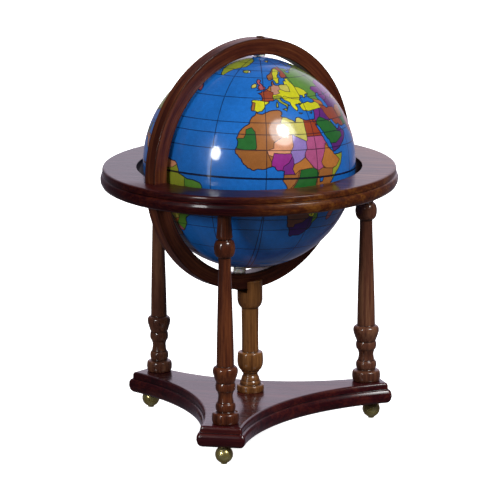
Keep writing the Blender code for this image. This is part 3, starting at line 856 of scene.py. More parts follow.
# Outlines as longitude and latitude in degrees, one pair after the other.
LAND = {
    "africa": """-6 36 -2 35 3 37 10 37.3 11 35 10 34 15 32.3 19 30.3 20 32.5 23 32.7 25 31.6 29 31
        32 31.3 32.5 30 34 27 35.5 24 37 21 38.5 18 39.5 15.5 43 12.5 43.5 11.3 48 11.3 51.3 11.8 51 10
        49.5 6.8 47.5 4 44 1 41.5 -2 39.5 -4.5 39 -7 40.5 -10.5 40.7 -15 37 -18 34.8 -20 35.5 -23.5
        32.8 -26 32.5 -28.5 30 -31.5 27 -33.8 22 -34.2 20 -34.8 18.3 -34 18 -32 16.5 -28.5 15 -26.5
        14.4 -22.5 12 -17.5 13.7 -12 13 -8.5 12 -5.5 9 -1 9.5 1 9.7 4 8 4.5 6 4.3 4.5 6.3 1.5 6.2 -2 4.9
        -5 5.2 -7.7 4.4 -11 6.7 -13.3 9 -15 11 -17 13 -17.4 14.8 -16.3 17 -16.2 19.5 -17 21 -16 24
        -14.5 26.2 -12.5 28 -10 29.5 -9.7 31.5 -8.5 33.3 -6.7 34.3""",
    "madagascar": """49.3 -12 50.4 -15.5 49.5 -17.5 47.5 -24.5 45.3 -25.6 43.6 -23.5 44.4 -20 44 -17
        46.5 -15.7 48.3 -13.6""",
    "eurasia": """-9.2 37 -9.4 38.8 -8.7 41 -9.2 43.2 -5 43.6 -1.8 43.4 -1.2 45 -2.3 47.2 -4.6 48.2
        -1.8 48.7 -1.6 49.7 0.2 49.6 1.8 50.7 4.5 52 5.3 53.4 8.5 53.7 8.2 55.5 9 57.2 10.6 57.6 10.2 56
        11 54.2 14 54 18.5 54.7 19.8 54.5 21 55.5 21.2 57 22.6 57.7 24 57.2 24.3 58.4 23.5 59.3 28 59.6
        29.8 60 28.5 60.6 25 60.2 22.5 60 21.4 61 21.5 63 25 65 24 65.8 22 65.6 21 64 17.5 62 17.2 60.6
        18.8 60 17 58.7 16.4 57 15.8 56.1 14.2 55.5 12.8 55.5 12.7 56.8 11.3 58.5 10.5 59.3 9 58.4 7 58
        5.5 58.8 5 61 6 62.5 10 64 12.5 66 15 68.3 19 69.8 23 70.5 28 71 31 70.3 33 69.4 40 67.8 41 66.8
        38 66.3 34 66.7 34.5 65 37.5 64 38 64.7 40.5 64.7 40 66 43.5 66.3 44 68.5 46 68 46 66.9 50 68
        54 68.5 60 68.8 64 69.3 68.5 68.3 67 69.5 67 71.5 69 73 72.5 72.8 72.5 71 73 68.5 71.5 66.5
        73.5 67.5 75 69 73.5 71.2 76 72 80.5 72.3 80.5 73.6 87 75 95 76 104 77.7 113 76 113.5 73.6 119 73
        127 73.5 130 71 133 71.5 139 72.3 141 72.8 150 71.6 160 69.8 170 69.8 178 69.3 180.5 68.9 185 67.2
        189.5 66 187 64.3 182 65.5 179 64.8 178 62.5 171 60 164.5 60 163 58 163.5 56 161.5 54.5 159.5 53
        157 51 155.8 56 157 58 163 61.5 160 61.8 155.5 59.5 150 59.5 143 59.3 136 55 141 53 140.5 48.5
        136 44 132 43.2 129.8 41.5 127.5 39.8 129.4 37 129 35.2 126.5 34.4 126.5 37 125 38.5 124.5 40
        121.5 39 122 40.5 119 39.2 117.8 38.7 119.5 37.3 122.5 37.2 119.5 35 121.7 32 121.5 29.5
        119.5 25.5 116 22.8 113 22 110 21 108.3 21.6 105.8 19 108.8 15.5 109.3 12 106.8 10.4 105 8.8
        104.8 10.5 102.5 12 100.8 13.4 99.5 11.5 99.5 9.5 102 6.3 103.5 4 103.7 1.4 101.5 2.9 100.4 5.5
        98.5 8.2 98.5 12 97.5 16.2 94.3 16 94 19 91.8 22.3 88.8 21.8 86.8 20.8 82.3 16.7 80.2 15 80 12
        79.2 10 77.7 8.1 76.3 10 74.5 14.5 72.9 19 72.5 21.3 70 21 69 22.3 70.3 22.9 67.3 24.5 66.5 25.3
        61.6 25.2 57.3 25.8 56.3 27.1 54 26.6 51.5 28 50 30.1 48 30 48.5 28.3 50.2 26.5 50.8 24.8 51.3 26
        51.6 24.4 54 24.2 56.3 26.1 56.8 24.2 59.8 22.4 57.8 19 55 17.2 52 15.6 48.7 14 45 12.9 43.4 12.8
        42.7 16.5 40.5 20 39 22 37.2 25 35 28 34.7 29.6 34.3 27.8 32.6 30 32.4 31.3 34.3 31.3 35 33 36 35
        36.2 36.7 34 36.3 30.5 36.4 28 36.7 27.3 37.2 26.4 38.5 26.2 40 29 41.2 31.5 41.4 35 42 38 41
        41.5 41.5 39 44 37 45.3 39.3 47.2 35.3 46.3 35 45.2 33.8 44.4 32.6 45.5 33.4 46.1 31 46.6
        29.7 45.2 28.2 43.3 28.9 41.3 26.5 40.6 24 40.8 22.8 40.4 23.9 38 22.7 36.6 21.2 37.8 19.5 40.5
        19.4 42 15.5 43.8 13.6 45.2 12.3 45.3 12.6 44 14 42.4 16 41.5 18.4 40.2 17 40.4 16.5 39 15.8 38
        15.5 40 12.3 41.7 10.2 43.9 8.5 44.3 6.5 43.2 3.5 43.3 3.2 41.9 0.5 40.5 -0.5 38.4 -2.2 36.8
        -5.4 36.1 -6.5 36.9""",
    "britain": """-5.5 50.1 -3.5 50.4 1.3 51.1 1.7 52.7 0.2 53.3 -1.5 55 -3 56 -1.9 57.6 -3.2 58.6
        -5.2 58.5 -6 56.7 -4.9 54.8 -3 54.2 -4.5 53.2 -4.3 52.2 -5.2 51.8 -3 51.4""",
    "ireland": "-6.2 52.2 -9.8 51.6 -9.9 54 -7.5 55.3 -5.6 54.5",
    "iceland": "-22.5 64 -24.2 65.5 -21.5 66.3 -16 66.4 -13.7 65 -18.5 63.5",
    "sicily": "12.5 38 15.6 38.2 15.1 36.7",
    "sardinia": "8.3 39 9.6 39.3 9.4 42.8 8.6 41.5",
    "crete": "23.6 35.5 26.2 35.3 25 34.8",
    "cyprus": "32.4 35 34.4 35.6 33.5 34.6",
    "svalbard": "12 78.5 17 80 25 80 17 77",
    "novaya": "52 71 57 70.7 57 73.5 68 76.8 60 76 54 73",
    "severnaya": "95 79 102 79 105 78.3 99 81 93 80.5",
    "siberian_isles": "137 75.7 145 75.6 150 75 140 74",
    "greenland": """-43.5 59.9 -40 64.5 -32 68 -23 70 -20 74 -18 79.5 -30 83 -45 82.5 -60 82 -68 80
        -72 78.4 -68 76 -58 75.3 -54 70.5 -53 66.5 -49 62""",
    "north_america": """-168 65.8 -166 68.3 -156.5 71.3 -141 69.7 -128 70.3 -115 68.5 -108 68 -97 68
        -94 71.5 -88 68.5 -82 69.5 -82 66.8 -87 64.5 -94 61 -94.5 58.7 -88 56.5 -82.3 55 -80 51.3 -79 54.5
        -77 57.5 -78 62.4 -73 62 -69.5 58.8 -65 60 -61.5 56.5 -57 52.5 -60 50.2 -66.5 50.2 -70 47
        -64.5 48.8 -65 46.2 -60.5 46.5 -63.5 44.6 -66 43.6 -67 45 -70 43.5 -70.2 41.8 -74 40.6 -75.8 37.2
        -76 35 -81 31.5 -80.2 26 -81.5 25.5 -82.8 28.5 -84.5 30 -89.5 30.2 -90 29 -94 29.5 -97.3 27.5
        -97.7 22.5 -95.5 18.5 -91 18.8 -90 21.2 -87 21.5 -88.3 18 -88.5 15.9 -84 15.8 -83.5 11.5 -81.5 9
        -79.5 9.5 -77.3 8.5 -78 7.5 -80 7.5 -83 8.3 -85.7 10.5 -87.5 13 -92 14.3 -95 16.1 -101 17.5
        -105.5 20.3 -106 23 -109.3 26.5 -112.8 31 -114.7 31.5 -111 25.5 -109.7 23 -112 25.8 -114.5 28.5
        -117 32.5 -120.5 34.5 -122.5 37.5 -124.3 40.3 -124 46 -123 49 -128 51.5 -131 55.3 -136 58.5
        -141 59.9 -148 60.6 -152 59.3 -158 56.5 -163 55 -158 58.5 -162 59.5 -165 61.5 -161 64
        -166 64.5""",
    "baffin": "-62 66.5 -68 70.3 -80 73.5 -88 73.7 -89 71 -78 70 -73 66 -72 63.5 -66 62.3 -65 64.5",
    "ellesmere": "-62 82.5 -75 79 -80 76.3 -92 76.5 -92 81 -75 83",
    "victoria": "-117 69.5 -105 68.8 -101 69.8 -105 73 -115 73.3 -118 71",
    "banks": "-125 72 -120 71.5 -117 73.5 -124 74.3",
    "newfoundland": "-59 47.7 -53 46.8 -53.5 49 -56 51.5",
    "vancouver": "-128 50.6 -123.5 48.4 -125.5 48.7",
    "cuba": "-85 21.9 -82 23.2 -78 22.4 -74.2 20.2 -77.7 19.8 -78.5 21 -82 22",
    "hispaniola": "-74.3 18.5 -73 19.9 -68.5 18.6 -71.5 17.8",
    "jamaica": "-78.3 18.3 -76.3 18.2 -77.3 17.7",
    "puerto_rico": "-67.2 18.5 -65.6 18.4 -66.5 17.9",
    "south_america": """-77.3 8.5 -75.5 10.7 -72 12 -71.5 11 -68 11.5 -64 10.5 -61 9 -57 6.2 -52 5 -50 1.5
        -50 -0.5 -44 -2.8 -40 -3 -35.2 -5.3 -35 -9 -38.8 -13.5 -39.2 -17.8 -41 -22 -44.5 -23.2 -48.6 -26
        -49 -29 -52.3 -33 -55 -34.9 -58.3 -34 -57 -36.5 -58 -38.3 -62.3 -39 -65 -41 -63.8 -42.7 -67.4 -46
        -65.8 -47.8 -69 -51 -68.3 -52.5 -65.2 -54.8 -70 -55.3 -74.5 -52 -75.5 -47 -73 -42 -73.6 -37.5
        -71.6 -33 -71.3 -29 -70.3 -24 -70.3 -18.3 -75.8 -14.7 -78 -10 -81 -6 -80.3 -3.2 -80.8 -1 -79 1.7
        -77.5 4 -78 7.5""",
    "falklands": "-61 -51.5 -58 -51.5 -59.5 -52.3",
    "australia": """113.8 -22 114 -26 115.7 -32 115.2 -34.3 118 -35 123.7 -34 129 -31.7 131.5 -31.4
        135.5 -34.8 137.8 -33 138.3 -35.6 140.7 -38 144.5 -38.3 147 -38.7 150 -37.3 151.5 -33 153.3 -28.5
        152.5 -25 149 -21 146.2 -19 145.3 -15 143.7 -14.3 142.5 -10.8 141.5 -13.5 140.8 -17.5 138 -16.7
        135.5 -15 136.8 -12.2 132.5 -11.3 130.5 -12.7 129 -15 126 -14 122.3 -17.5 119 -20.2""",
    "tasmania": "144.7 -40.8 148.3 -40.9 147.5 -43.5 146 -43.5",
    "new_zealand_north": "173 -34.6 175.8 -37 178.4 -37.8 177 -39.5 175.3 -41.6 174 -39.3 174.7 -37.5",
    "new_zealand_south": "173 -40.6 174.2 -41.8 170.5 -46 168.5 -46.6 166.6 -45.8 170 -43",
    "new_guinea": """131 -1 134 -0.8 137.8 -1.6 141 -2.6 145.8 -5 147 -6.8 150.6 -10.3 147 -9.5 143.5 -8.5
        141 -9.1 138 -8.3 138 -5.7 133 -4""",
    "new_britain": "148.5 -5.7 152 -4.3 151.5 -6 149.5 -6.3",
    "solomons": "155.5 -6 161 -9.5 160.5 -10 155 -7",
    "new_caledonia": "164 -20.2 167 -22.2 166 -22.3",
    "borneo": "109 1.5 112 3 116.8 7 119 5.2 117.8 1 116 -3.8 111 -3.2 109.2 -0.5",
    "sumatra": "95.3 5.6 98.5 3.8 103.8 -1 106 -3 105.7 -5.8 102 -4 98.8 1.5",
    "java": "105.3 -6.8 108.5 -6.7 112.7 -6.9 114.4 -8.5 110 -8.1 106 -7.4",
    "timor": "123.6 -10.3 127 -8.4 124.5 -9.1",
    "sulawesi": "119.8 0 121 1.2 125 1.5 120.8 0.4 123.3 -0.9 121.9 -2 122.7 -4.5 120.4 -5.5 119.5 -3.4",
    "luzon": "120 16 121 18.5 122.2 18.4 121.7 15.5 124 12.8 121 13.8",
    "mindanao": "122 7 125.5 9.7 126.4 7 125.4 5.8 124 7.2",
    "honshu": "131 34.2 135.5 35.6 137 37 139.5 38.5 140 41.2 141.8 39.5 140.8 36 138.5 34.7 135.5 33.6",
    "kyushu": "130 33.5 131.8 33.5 131 31.3 130.2 31.4",
    "hokkaido": "140.2 41.8 141.7 45.3 145.3 43.7 143.2 42",
    "sakhalin": "142 46.3 142 49 143 54.2 143.4 50 144 49",
    "taiwan": "120.2 23 121.5 25.1 121 22.2",
    "hainan": "108.8 19 111 20 110 18.4",
    "sri_lanka": "79.8 8 80.3 9.7 81.8 7.3 80.7 6",
    "hawaii": "-156 20.2 -154.9 19.6 -155.8 19",
}
ANTARCTIC_COAST = """-169 -78.3 -158 -78 -150 -77.3 -140 -75.2 -120 -74 -102 -73.5 -90 -73 -75 -73
    -68 -69.5 -66 -66.5 -58 -63.3 -61 -66.5 -63 -70 -61 -75 -50 -78 -36 -78.5 -27 -76 -15 -72.5 0 -70.5
    15 -70 33 -69 45 -67.5 55 -66.3 68 -68 74 -70 80 -68 95 -66.5 110 -66.3 130 -66.2 145 -67 160 -70
    170 -72 166 -76 175 -78 191 -78.3"""
LAKES = {
    "caspian": "47 44.5 50 46.6 53 46.6 51 44.5 53.5 40.5 54 37.2 51 36.7 49 38.5 49.5 40.5 47.5 42.8",
    "aral": "58.5 45 61 46.5 60.5 44",
    "victoria_lake": "31.8 -0.5 34 0.2 33.8 -2.4 32 -2.6",
    "great_lakes": """-92 47 -88 48.8 -84.5 46.6 -81 45.5 -80 44.5 -83 43.5 -84 46 -86.5 42 -87.7 43.5
        -86 46""",
    "baikal": "104 51.6 109.5 55.5 108 52.5",
}

# Inks as seen on a screen.
INKS = {
    "ocean": (30, 112, 200),
    "ochre": (166, 104, 52),
    "tan": (154, 96, 46),
    "green": (42, 108, 48),
    "straw": (206, 196, 92),
    "brick": (156, 62, 32),
    "pink": (184, 88, 136),
    "lavender": (150, 124, 196),
    "peach": (222, 150, 108),
    "magenta": (152, 44, 138),
    "violet": (122, 44, 134),
    "purple": (98, 40, 122),
    "plum": (58, 18, 104),
    "orange": (190, 120, 56),
    "yellow": (212, 210, 34),
    "leaf": (94, 144, 52),
    "lime": (152, 162, 50),
    "blush": (196, 142, 120),
    "rose": (176, 88, 100),
    "rust": (156, 72, 46),
    "cocoa": (112, 70, 54),
    "ice": (228, 224, 208),
}

# Each region's name, ink and outline, painted where there is land. A later one covers an earlier one.
REGIONS = (
    ("africa", "ochre", "-30 40 12 40 36 31.6 33.5 28 60 12 55 -15 40 -40 10 -40 -30 0"),
    ("west_africa", "tan", "-20 15.2 0 15.2 1 12.5 2.7 9 2.8 3 -20 3"),
    ("mauritania", "green", """-19 20.8 -17 15.8 -12 15 -6 15.4 -5.5 16.5 -6.5 24.8 -8.7 27.3 -12 26
        -12 23.4 -13 21.3"""),
    ("libya", "straw", "11.5 34.5 9.3 30.2 9.9 24.5 12 23.3 15.5 23.5 24 19.6 25 20 25 33.5 18 34.5"),
    ("egypt", "brick", "25 33 25 22 37.5 22 35.6 26 35 29.5 34.4 32 30 33"),
    ("niger", "peach", """1 12.5 0.3 15 4 16.3 4.2 19.2 12 23.5 15.5 23.2 15.5 17 13.6 14 13.8 12.8 4 13.6
        3.6 11.8"""),
    ("chad", "lavender", """13.8 12.8 13.6 14 15.5 17 15.5 23.4 24 19.6 24 15.7 22.3 13 22 11 19 9
        15.4 7.5 15 10.5"""),
    ("sudan", "pink", """25 22 38.5 22 38 17.5 36.5 14.5 34.5 10.5 34 5 31 3.7 28 5 24.4 8.8 22.5 11
        22.3 13 24 15.7 24 19.6 25 20"""),
    ("nigeria", "magenta", """2.7 3 2.8 9 3.6 11.8 4 13.6 10 13.2 14 13.4 14.5 11.7 12.5 8.5 9.3 6.5
        8.5 3"""),
    ("cameroon", "violet", "8.5 3 9.3 6.5 12.5 8.5 14.5 11.7 15.2 10 15.3 7.3 14.5 5 16 2.2 8 2"),
    ("centre", "orange", "16 2.2 14.5 5 15.4 7.5 19 9 22.2 11 24.4 8.8 27.5 5.2 24 5 18.6 4.4 17.5 2"),
    ("congo", "ochre", "7 2.2 16 2.2 18.6 4.4 17.7 0 16 -3 13 -5.9 10 -5.9 7 -2"),
    ("zaire", "green", """14.5 -6 15.5 -4.5 17 -2.5 18.6 0.5 19.4 4.4 24 5 27.5 5.2 30 3.8 31 1 29.2 -3
        29.5 -8.3 28.5 -9.2 29.5 -12.5 24 -11 21.8 -7.3 17 -8 16.5 -5.9 14.5 -6.2"""),
    ("ethiopia", "orange", """36.5 14.5 37.2 17.5 43 12.5 48 8 45 5 41.5 4 38 3.7 35.8 4.7 34 6 33 8
        34.5 10.6"""),
    ("somalia", "lime", "43 12.5 48.2 8 45 5 41.6 4 41 -0.8 41.6 -3.2 53 5 53 14 44 14"),
    ("east_africa", "ochre", """31 3.7 34 5 36 4.5 41.8 4 41 -1 43 -3 43 -10.8 38 -11.5 34.5 -11.3
        32.8 -9.3 30 -8.4 29.2 -4.5 29.7 -1 31 1.5"""),
    ("angola", "straw", """9 -6.1 16.5 -5.9 17 -8 21.8 -7.3 24 -11 22 -13 22 -16.2 23.4 -17.6 18.5 -17.4
        9 -17.3"""),
    ("zambia", "pink", """24 -11 29.5 -12.5 28.5 -9.2 32.8 -9.3 34.5 -11.3 34.8 -14 30.3 -15.6 27 -17.9
        23.4 -17.6 22 -16.2 22 -13"""),
    ("mozambique", "leaf", """34.5 -11.3 43 -10.6 42 -16 36 -26.9 32 -26.9 31.5 -22.4 32.8 -19 32.5 -16.5
        30.3 -15.6 34.8 -14"""),
    ("zimbabwe", "yellow", "27 -17.9 30.3 -15.6 32.5 -16.5 32.8 -19 31.5 -22.4 29.2 -22.1 26 -19.2"),
    ("botswana", "cocoa", """9 -17.3 18.5 -17.4 23.4 -17.7 27 -17.9 26 -19.2 29.2 -22.1 27 -23.8 25 -25.6
        20.2 -26.5 20 -28.3 12 -28.7"""),
    ("south_africa", "plum", """12 -28.6 20 -28.3 20.2 -26.5 25 -25.6 27 -23.8 29.2 -22.1 31.5 -22.4
        32.2 -26.9 38 -27 30 -37 14 -37"""),
    ("madagascar", "rose", "42 -11 52 -11 52 -27 42 -27"),
    ("europe", "yellow", """-12 35.9 -5.5 35.9 0 37.4 5 38.6 10.5 38.2 11.8 36.6 15 35.6 20 34.4 26 34
        29 40.6 42 41.5 40 44 38 43.9 37 45.8 40 47 38 49.8 34 52 31 52.5 28 57 27.5 60 30 62.5 30 67
        32 72 0 72 -12 60"""),
    ("portugal", "ochre", "-11 36.5 -7.4 36.8 -7 39 -6.5 41.8 -8.5 42.2 -11 42.2"),
    ("france", "rust", "-6 48.8 2 51.5 8 49 7.5 47.3 6.5 46 7.6 43.4 3.2 42.5 -1.5 43.1 -3 44"),
    ("low_countries", "orange", "2.2 51 6.2 49.4 7 53.9 4 53"),
    ("germany", "blush", """6.2 49.4 7 54 9 55.2 14.3 54.4 15 51 12.3 50.2 13.5 48.6 10 47.4 7.5 47.4
        8 49"""),
    ("denmark", "ochre", "7 54.9 7 58 12 58 11.5 54.6"),
    ("poland", "straw", "14.3 54.8 15 51 18.5 49.7 23 49.2 23.8 52.5 23 54.5 19 54.8"),
    ("italy", "lime", "7 44 7 46 10.5 46.7 13.7 46.5 13.8 45.3 19 40.5 18 37 12 36 7.8 38.5"),
    ("balkans", "yellow", """13.8 45.3 16.5 46.4 22.5 44.4 28.7 43.9 29 41 26.3 41.4 26 39.8 28 36 19 35
        18.5 41.5"""),
    ("norway", "ochre", """3 57.5 8 57.3 11.3 59 12.3 61.5 12.2 63.7 14.5 66 16.5 68.2 20.2 69.1 25.5 69.9
        28.8 69.9 31.5 71.8 20 72 3 64"""),
    ("sweden", "yellow", """11.2 59 12.3 61.5 12.2 63.7 14.5 66 16.5 68.2 20.3 69 23.7 67.5 24 65.7 20 60
        14 54.9 12.2 55.2 10.8 58"""),
    ("finland", "rust", """20.3 69.1 25.5 69.9 28.8 69.7 30 67 30 62.5 27.5 60.1 21 59.3 19.5 62 24 65.7
        23.7 67.5"""),
    ("britain", "rose", "-8 49 3 49.9 3 60 -8 60 -5.2 55.3"),
    ("ireland", "straw", "-11 51 -5.2 51.5 -5.2 55.6 -11 56"),
    ("iceland", "ice", "-26 62 -12 62 -12 68 -26 68"),
    ("greenland", "lime", "-75 77.5 -52 58 -20 58 -8 84.5 -60 84.5 -71 80"),
    ("russia", "leaf", """28.8 69.7 30 67 30 62.5 27.5 60 28 57 31 52.5 34 52 38 49.8 40 47 37 45.8
        38 43.8 48 42 49 44.6 49.5 46.5 47 50 51 51.5 60 50.5 62 54 70 55 76.5 54 80 51 87 49.2 98 50.5
        108 49.5 117 49.7 120 53.2 126 53 131 48 135 48.4 131 43 133 42 148 45 165 49 191 60 191 72 110 82
        60 80 30 72.5"""),
    ("kazakhstan", "violet", """49.5 46.5 47 50 51 51.5 60 50.5 62 54 70 55 76.5 54 80 51 87 49.2 82 45.5
        80 42.3 71 42.5 66.5 41.5 62 43.5 56 41.3 53 42 50.5 44.5"""),
    ("turkestan", "purple", """50.5 42 56 41.3 62 43.5 66.5 41.5 71 42.5 74 39.5 74.8 37.2 71.5 36.5
        66.5 37.3 61.2 35.4 60 36.5 54 37.2 51 38"""),
    ("turkey", "yellow", """25.6 41 29 41.2 31 43 42 41.6 44.7 39.7 44.5 37.3 42.3 37.2 36.5 36.6 36 35.5
        26 35.9"""),
    ("caucasus", "orange", "40 43.6 44 42.8 48.5 41.8 50.5 40.3 48.8 38.4 44.7 39.7 42 41.6 40 41.4"),
    ("syria", "violet", "35 33 36 36.6 42.3 37.3 41 34.5 39 32.3 37 31.5 35 29.5 34.2 31.3"),
    ("iraq", "purple", """42.3 37.3 44.7 37.2 45.5 35.5 46 33 48 30.8 48.8 29.9 46.5 29.2 42 31.3 39 32.3
        41 34.5"""),
    ("iran", "rust", """44.5 39.5 48.5 38.3 51 38 54 37.2 60 36.5 61.2 35.4 61 31 63 27 61.6 24.6 57 25.2
        50 29 48 30.3 46 33 45.5 35.5 44.5 37.5"""),
    ("afghanistan", "ochre", """61.2 35.4 66.5 37.3 71.5 36.5 74.8 37.2 71 34 69.5 31.8 66.5 29.7 61 29.6
        61 31"""),
    ("pakistan", "green", """61.6 24 63 27 61 29.6 66.5 29.7 69.5 31.8 71 34 74.8 37.2 77 35.5 74.5 31
        70 28 70.5 24.5 68 23"""),
    ("arabia", "green", """34.4 29.5 37 31.5 39 32.3 42 31.3 46.5 29.2 48.8 28.4 51 24.6 52 23 55.2 22.7
        55 20 52 19 47 17 43.3 17.3 42 16.3 36 22"""),
    ("oman", "purple", """40 16.3 43.3 17.3 47 17 52 19 55 20 55.2 22.7 52 23 51.4 24.7 56.4 26.7 61 23
        56 15 44 12 41 14"""),
    ("india", "rose", """68 23 70.5 24.5 70 28 74.5 31 77 35.5 79 32.5 81 30.2 88.2 27.8 92 27.5 97 28.5
        94.5 24.5 92.3 21 86 18 79 6 72 8"""),
    ("sri_lanka", "yellow", "79.2 5 82.5 5 82.5 10 80.4 9.9 79.4 9"),
    ("nepal", "orange", "81 30.2 88.2 27.8 88 26.4 80.2 28.8"),
    ("bengal", "leaf", "88.2 26 89.5 26.2 92.3 25 92.3 21 89 21"),
    ("china", "orange", """74 39.5 80 42.3 82 45.5 87 49.2 91 45 96 42.7 105 41.6 111.5 43.8 119.5 46.8
        117 49.7 120 53.2 126 53 131 48 135 48.4 131 43 127.5 41.5 124.3 39.8 122 37 124 30 118 22
        110 19.5 106.5 22.8 101.5 21.5 98 24 97.5 28.3 92 27.5 88.2 27.8 81 30.2 79 32.5 77 35.5"""),
    ("mongolia", "peach", """87 49.2 98 50.5 108 49.5 117 49.7 119.5 46.8 111.5 43.8 105 41.6 96 42.7
        91 45"""),
    ("korea", "pink", "124.3 39.8 127.5 41.5 130.8 42.4 130 35 125 33"),
    ("japan", "magenta", "129 30 146 42 146 46 139.5 45.9 139 41.5 129.5 35"),
    ("burma", "purple", "92.3 21 94.5 24.5 97.5 28.3 98 24 101 21.5 98 18 98.8 11 96 15"),
    ("indochina", "lime", """98.8 5.5 98.8 11 98 18 101 21.5 106.5 22.8 108.3 21.3 111 13 105 7.6 102 9
        100.2 6.2"""),
    ("malaya", "brick", "100.2 6.2 102.3 6.2 105 1 103 1.2"),
    ("philippines", "straw", "116.8 8 122 5 128 5 126 19 119 19"),
    ("taiwan", "green", "119.9 21.7 122 21.7 122 25.7 119.9 25.2"),
    ("indonesia", "leaf", "94 6.2 99 4.2 104 -0.5 117 4 128 2 141 1 141 -12 105 -12 94 2"),
    ("borneo_north", "peach", "109.3 1.6 115 1.7 117.8 4.2 120 5 116.5 8 111 4"),
    ("papua", "rose", "141 0 156 -3 163 -11 150 -12 141 -10"),
    ("australia_west", "orange", "112 -12 129 -12 129 -36 112 -36"),
    ("australia_north", "pink", "129 -10 138 -10 138 -26 129 -26"),
    ("australia_south", "yellow", "129 -26 141 -26 141 -39 129 -36"),
    ("australia_east", "leaf", "138 -10 155 -10 155 -29 141 -29 141 -26 138 -26"),
    ("new_south_wales", "violet", "141 -29 155 -28.2 151 -37 148 -36.8 141 -34"),
    ("victoria", "brick", "141 -34 148 -36.8 151 -37.5 149 -44 141 -41"),
    ("new_zealand", "lime", "165 -33 180 -33 180 -48 165 -48"),
    ("alaska", "leaf", "-169 55 -141 59.5 -141 71 -160 73 -169 68"),
    ("canada", "rose", """-141 59.5 -141 71 -130 76 -95 84 -70 84 -52 46 -67 44.6 -69 47.3 -75 45 -83 43
        -83 46 -89 48.1 -95 49 -123 49 -135 52"""),
    ("canada_west", "pink", "-140.9 59.5 -140.9 71 -120 71 -120 60 -110 60 -110 49 -123 49 -135 52"),
    ("states", "yellow", """-127 49 -95 49 -89 48.1 -83 46 -83 43 -75 45 -69 47.3 -67 44.6 -65 42 -79 24
        -98 25.5 -106.5 31.8 -114.8 32.5 -119 32"""),
    ("states_south", "lime", "-103 37 -76 36.5 -79 24 -98 25.5 -103 29.5"),
    ("mexico", "green", """-117.3 32.5 -114.8 32.5 -106.5 31.8 -103 29.5 -98 25.5 -90 22.5 -86 22 -89 17.8
        -92.3 14.4 -105 17 -118 27"""),
    ("central_america", "orange", "-92.3 14.4 -89 17.8 -86 17 -82 16 -77.2 8.8 -80 6 -90 12"),
    ("islands", "peach", "-86 23.5 -64 23.5 -64 17 -79 17 -86 20"),
    ("columbia", "pink", """-77.2 8.8 -74 13 -71 12.3 -72.5 9 -67.5 6.2 -67 1.5 -70 -4.2 -75 -0.2 -80 1.5
        -80 6"""),
    ("venezuela", "orange", "-71 12.3 -60 12 -60 8 -61.2 5.5 -64.5 4 -67 1.5 -67.5 6.2 -72.5 9"),
    ("guianas", "peach", "-60 9 -50 6 -51.5 4 -54.5 2.2 -58.5 1.5 -61.2 5.5"),
    ("peru", "purple", """-82 -3.5 -78.5 -3.2 -75 -0.2 -70 -4.2 -73.5 -7.5 -70 -10.8 -69.3 -17.6 -71 -19
        -78 -14 -83 -6"""),
    ("ecuador", "yellow", "-82 1.4 -80 1.5 -75 -0.2 -78.5 -3.2 -82 -3.5"),
    ("brazil", "lime", """-67 1.5 -64.5 4 -61.2 5.5 -58.5 1.5 -54.5 2.2 -51.5 4 -48 2 -33 -3 -33 -10
        -47 -28 -53.5 -34 -57.5 -30.2 -54 -26 -54.5 -24 -58 -20 -60 -14 -65 -10 -70 -10.8 -73.5 -7.5
        -70 -4.2"""),
    ("brazil_coast", "leaf", """-46 -1 -33 -3 -33 -10 -47 -28 -53.5 -34 -57.5 -30.2 -54 -26 -50 -20
        -46 -15"""),
    ("bolivia", "ochre", "-69.3 -17.6 -70 -10.8 -65 -10 -60 -14 -58 -20 -62.3 -22.2 -67.5 -22.8"),
    ("paraguay", "straw", "-62.3 -22.2 -58 -20 -54.5 -24 -54 -26 -57.5 -27.3 -58.5 -27.2"),
    ("uruguay", "rose", "-58.5 -34.5 -57.5 -30.2 -53.5 -34 -55 -36 -57 -35.2"),
    ("argentina", "orange", """-67.5 -22.8 -62.3 -22.2 -58.5 -27.2 -57.5 -27.3 -54 -26 -57.5 -30.2
        -58.5 -34.5 -55 -37 -63 -56 -68.6 -54 -68.6 -52.3 -73 -50 -71.5 -38 -70 -33 -68.5 -27"""),
    ("chile", "magenta", """-72 -17.6 -69.3 -17.6 -67.5 -22.8 -68.5 -27 -70 -33 -71.5 -38 -73 -50
        -68.6 -52.3 -68.6 -54 -66 -56.5 -78 -56 -77 -40"""),
    ("antarctica", "ice", "-169 -62 191 -62 191 -89 -169 -89"),
)

PARALLELS = (-75, -66.5, -60, -45, -30, -23.4, -15, 15, 23.4, 30, 45, 60, 66.5, 75)
MERIDIANS = range(-150, 181, 30)
LINE_END = 86.0  # the latitude where the meridians stop, under the washers
SEAM_FROM = -13.0  # the latitude where the second line of the print's joint leaves the first
SEAM_SLANT = 0.09  # degrees of longitude for each degree of latitude
MAP_GRID = 3.0  # degrees between the corners of the ball's facets

# Widths of the printed lines, in millimetres.
THIN_LINE = 0.21
COAST_LINE = 0.25
BORDER_LINE = 0.18
EQUATOR_LINE = 0.46
# How much of the ink under it each line lets through.
THROUGH = {"thin": 0.22, "coast": 0.1, "border": 0.16, "equator": 0.04}
LINE_INK = np.array((0.002, 0.003, 0.014))

# The joint of the ball's halves, a fine groove under the equator's line.
GROOVE_WIDTH = 0.12
GROOVE_DEPTH = 0.035
GROOVE_HALF_REACH = 0.55  # degrees

COAST_SPACING = 1.6  # degrees between the points of a smoothed coast
COAST_STEPS = 8  # the most that a stretch between two of its given points is cut into
WOBBLE = 0.26  # degrees that small bays and capes reach in and out
WOBBLE_WAVES = (37.0, 23.0)
WATER = -1


def pairs(text):
    numbers = [float(word) for word in text.split()]
    return list(zip(numbers[0::2], numbers[1::2]))


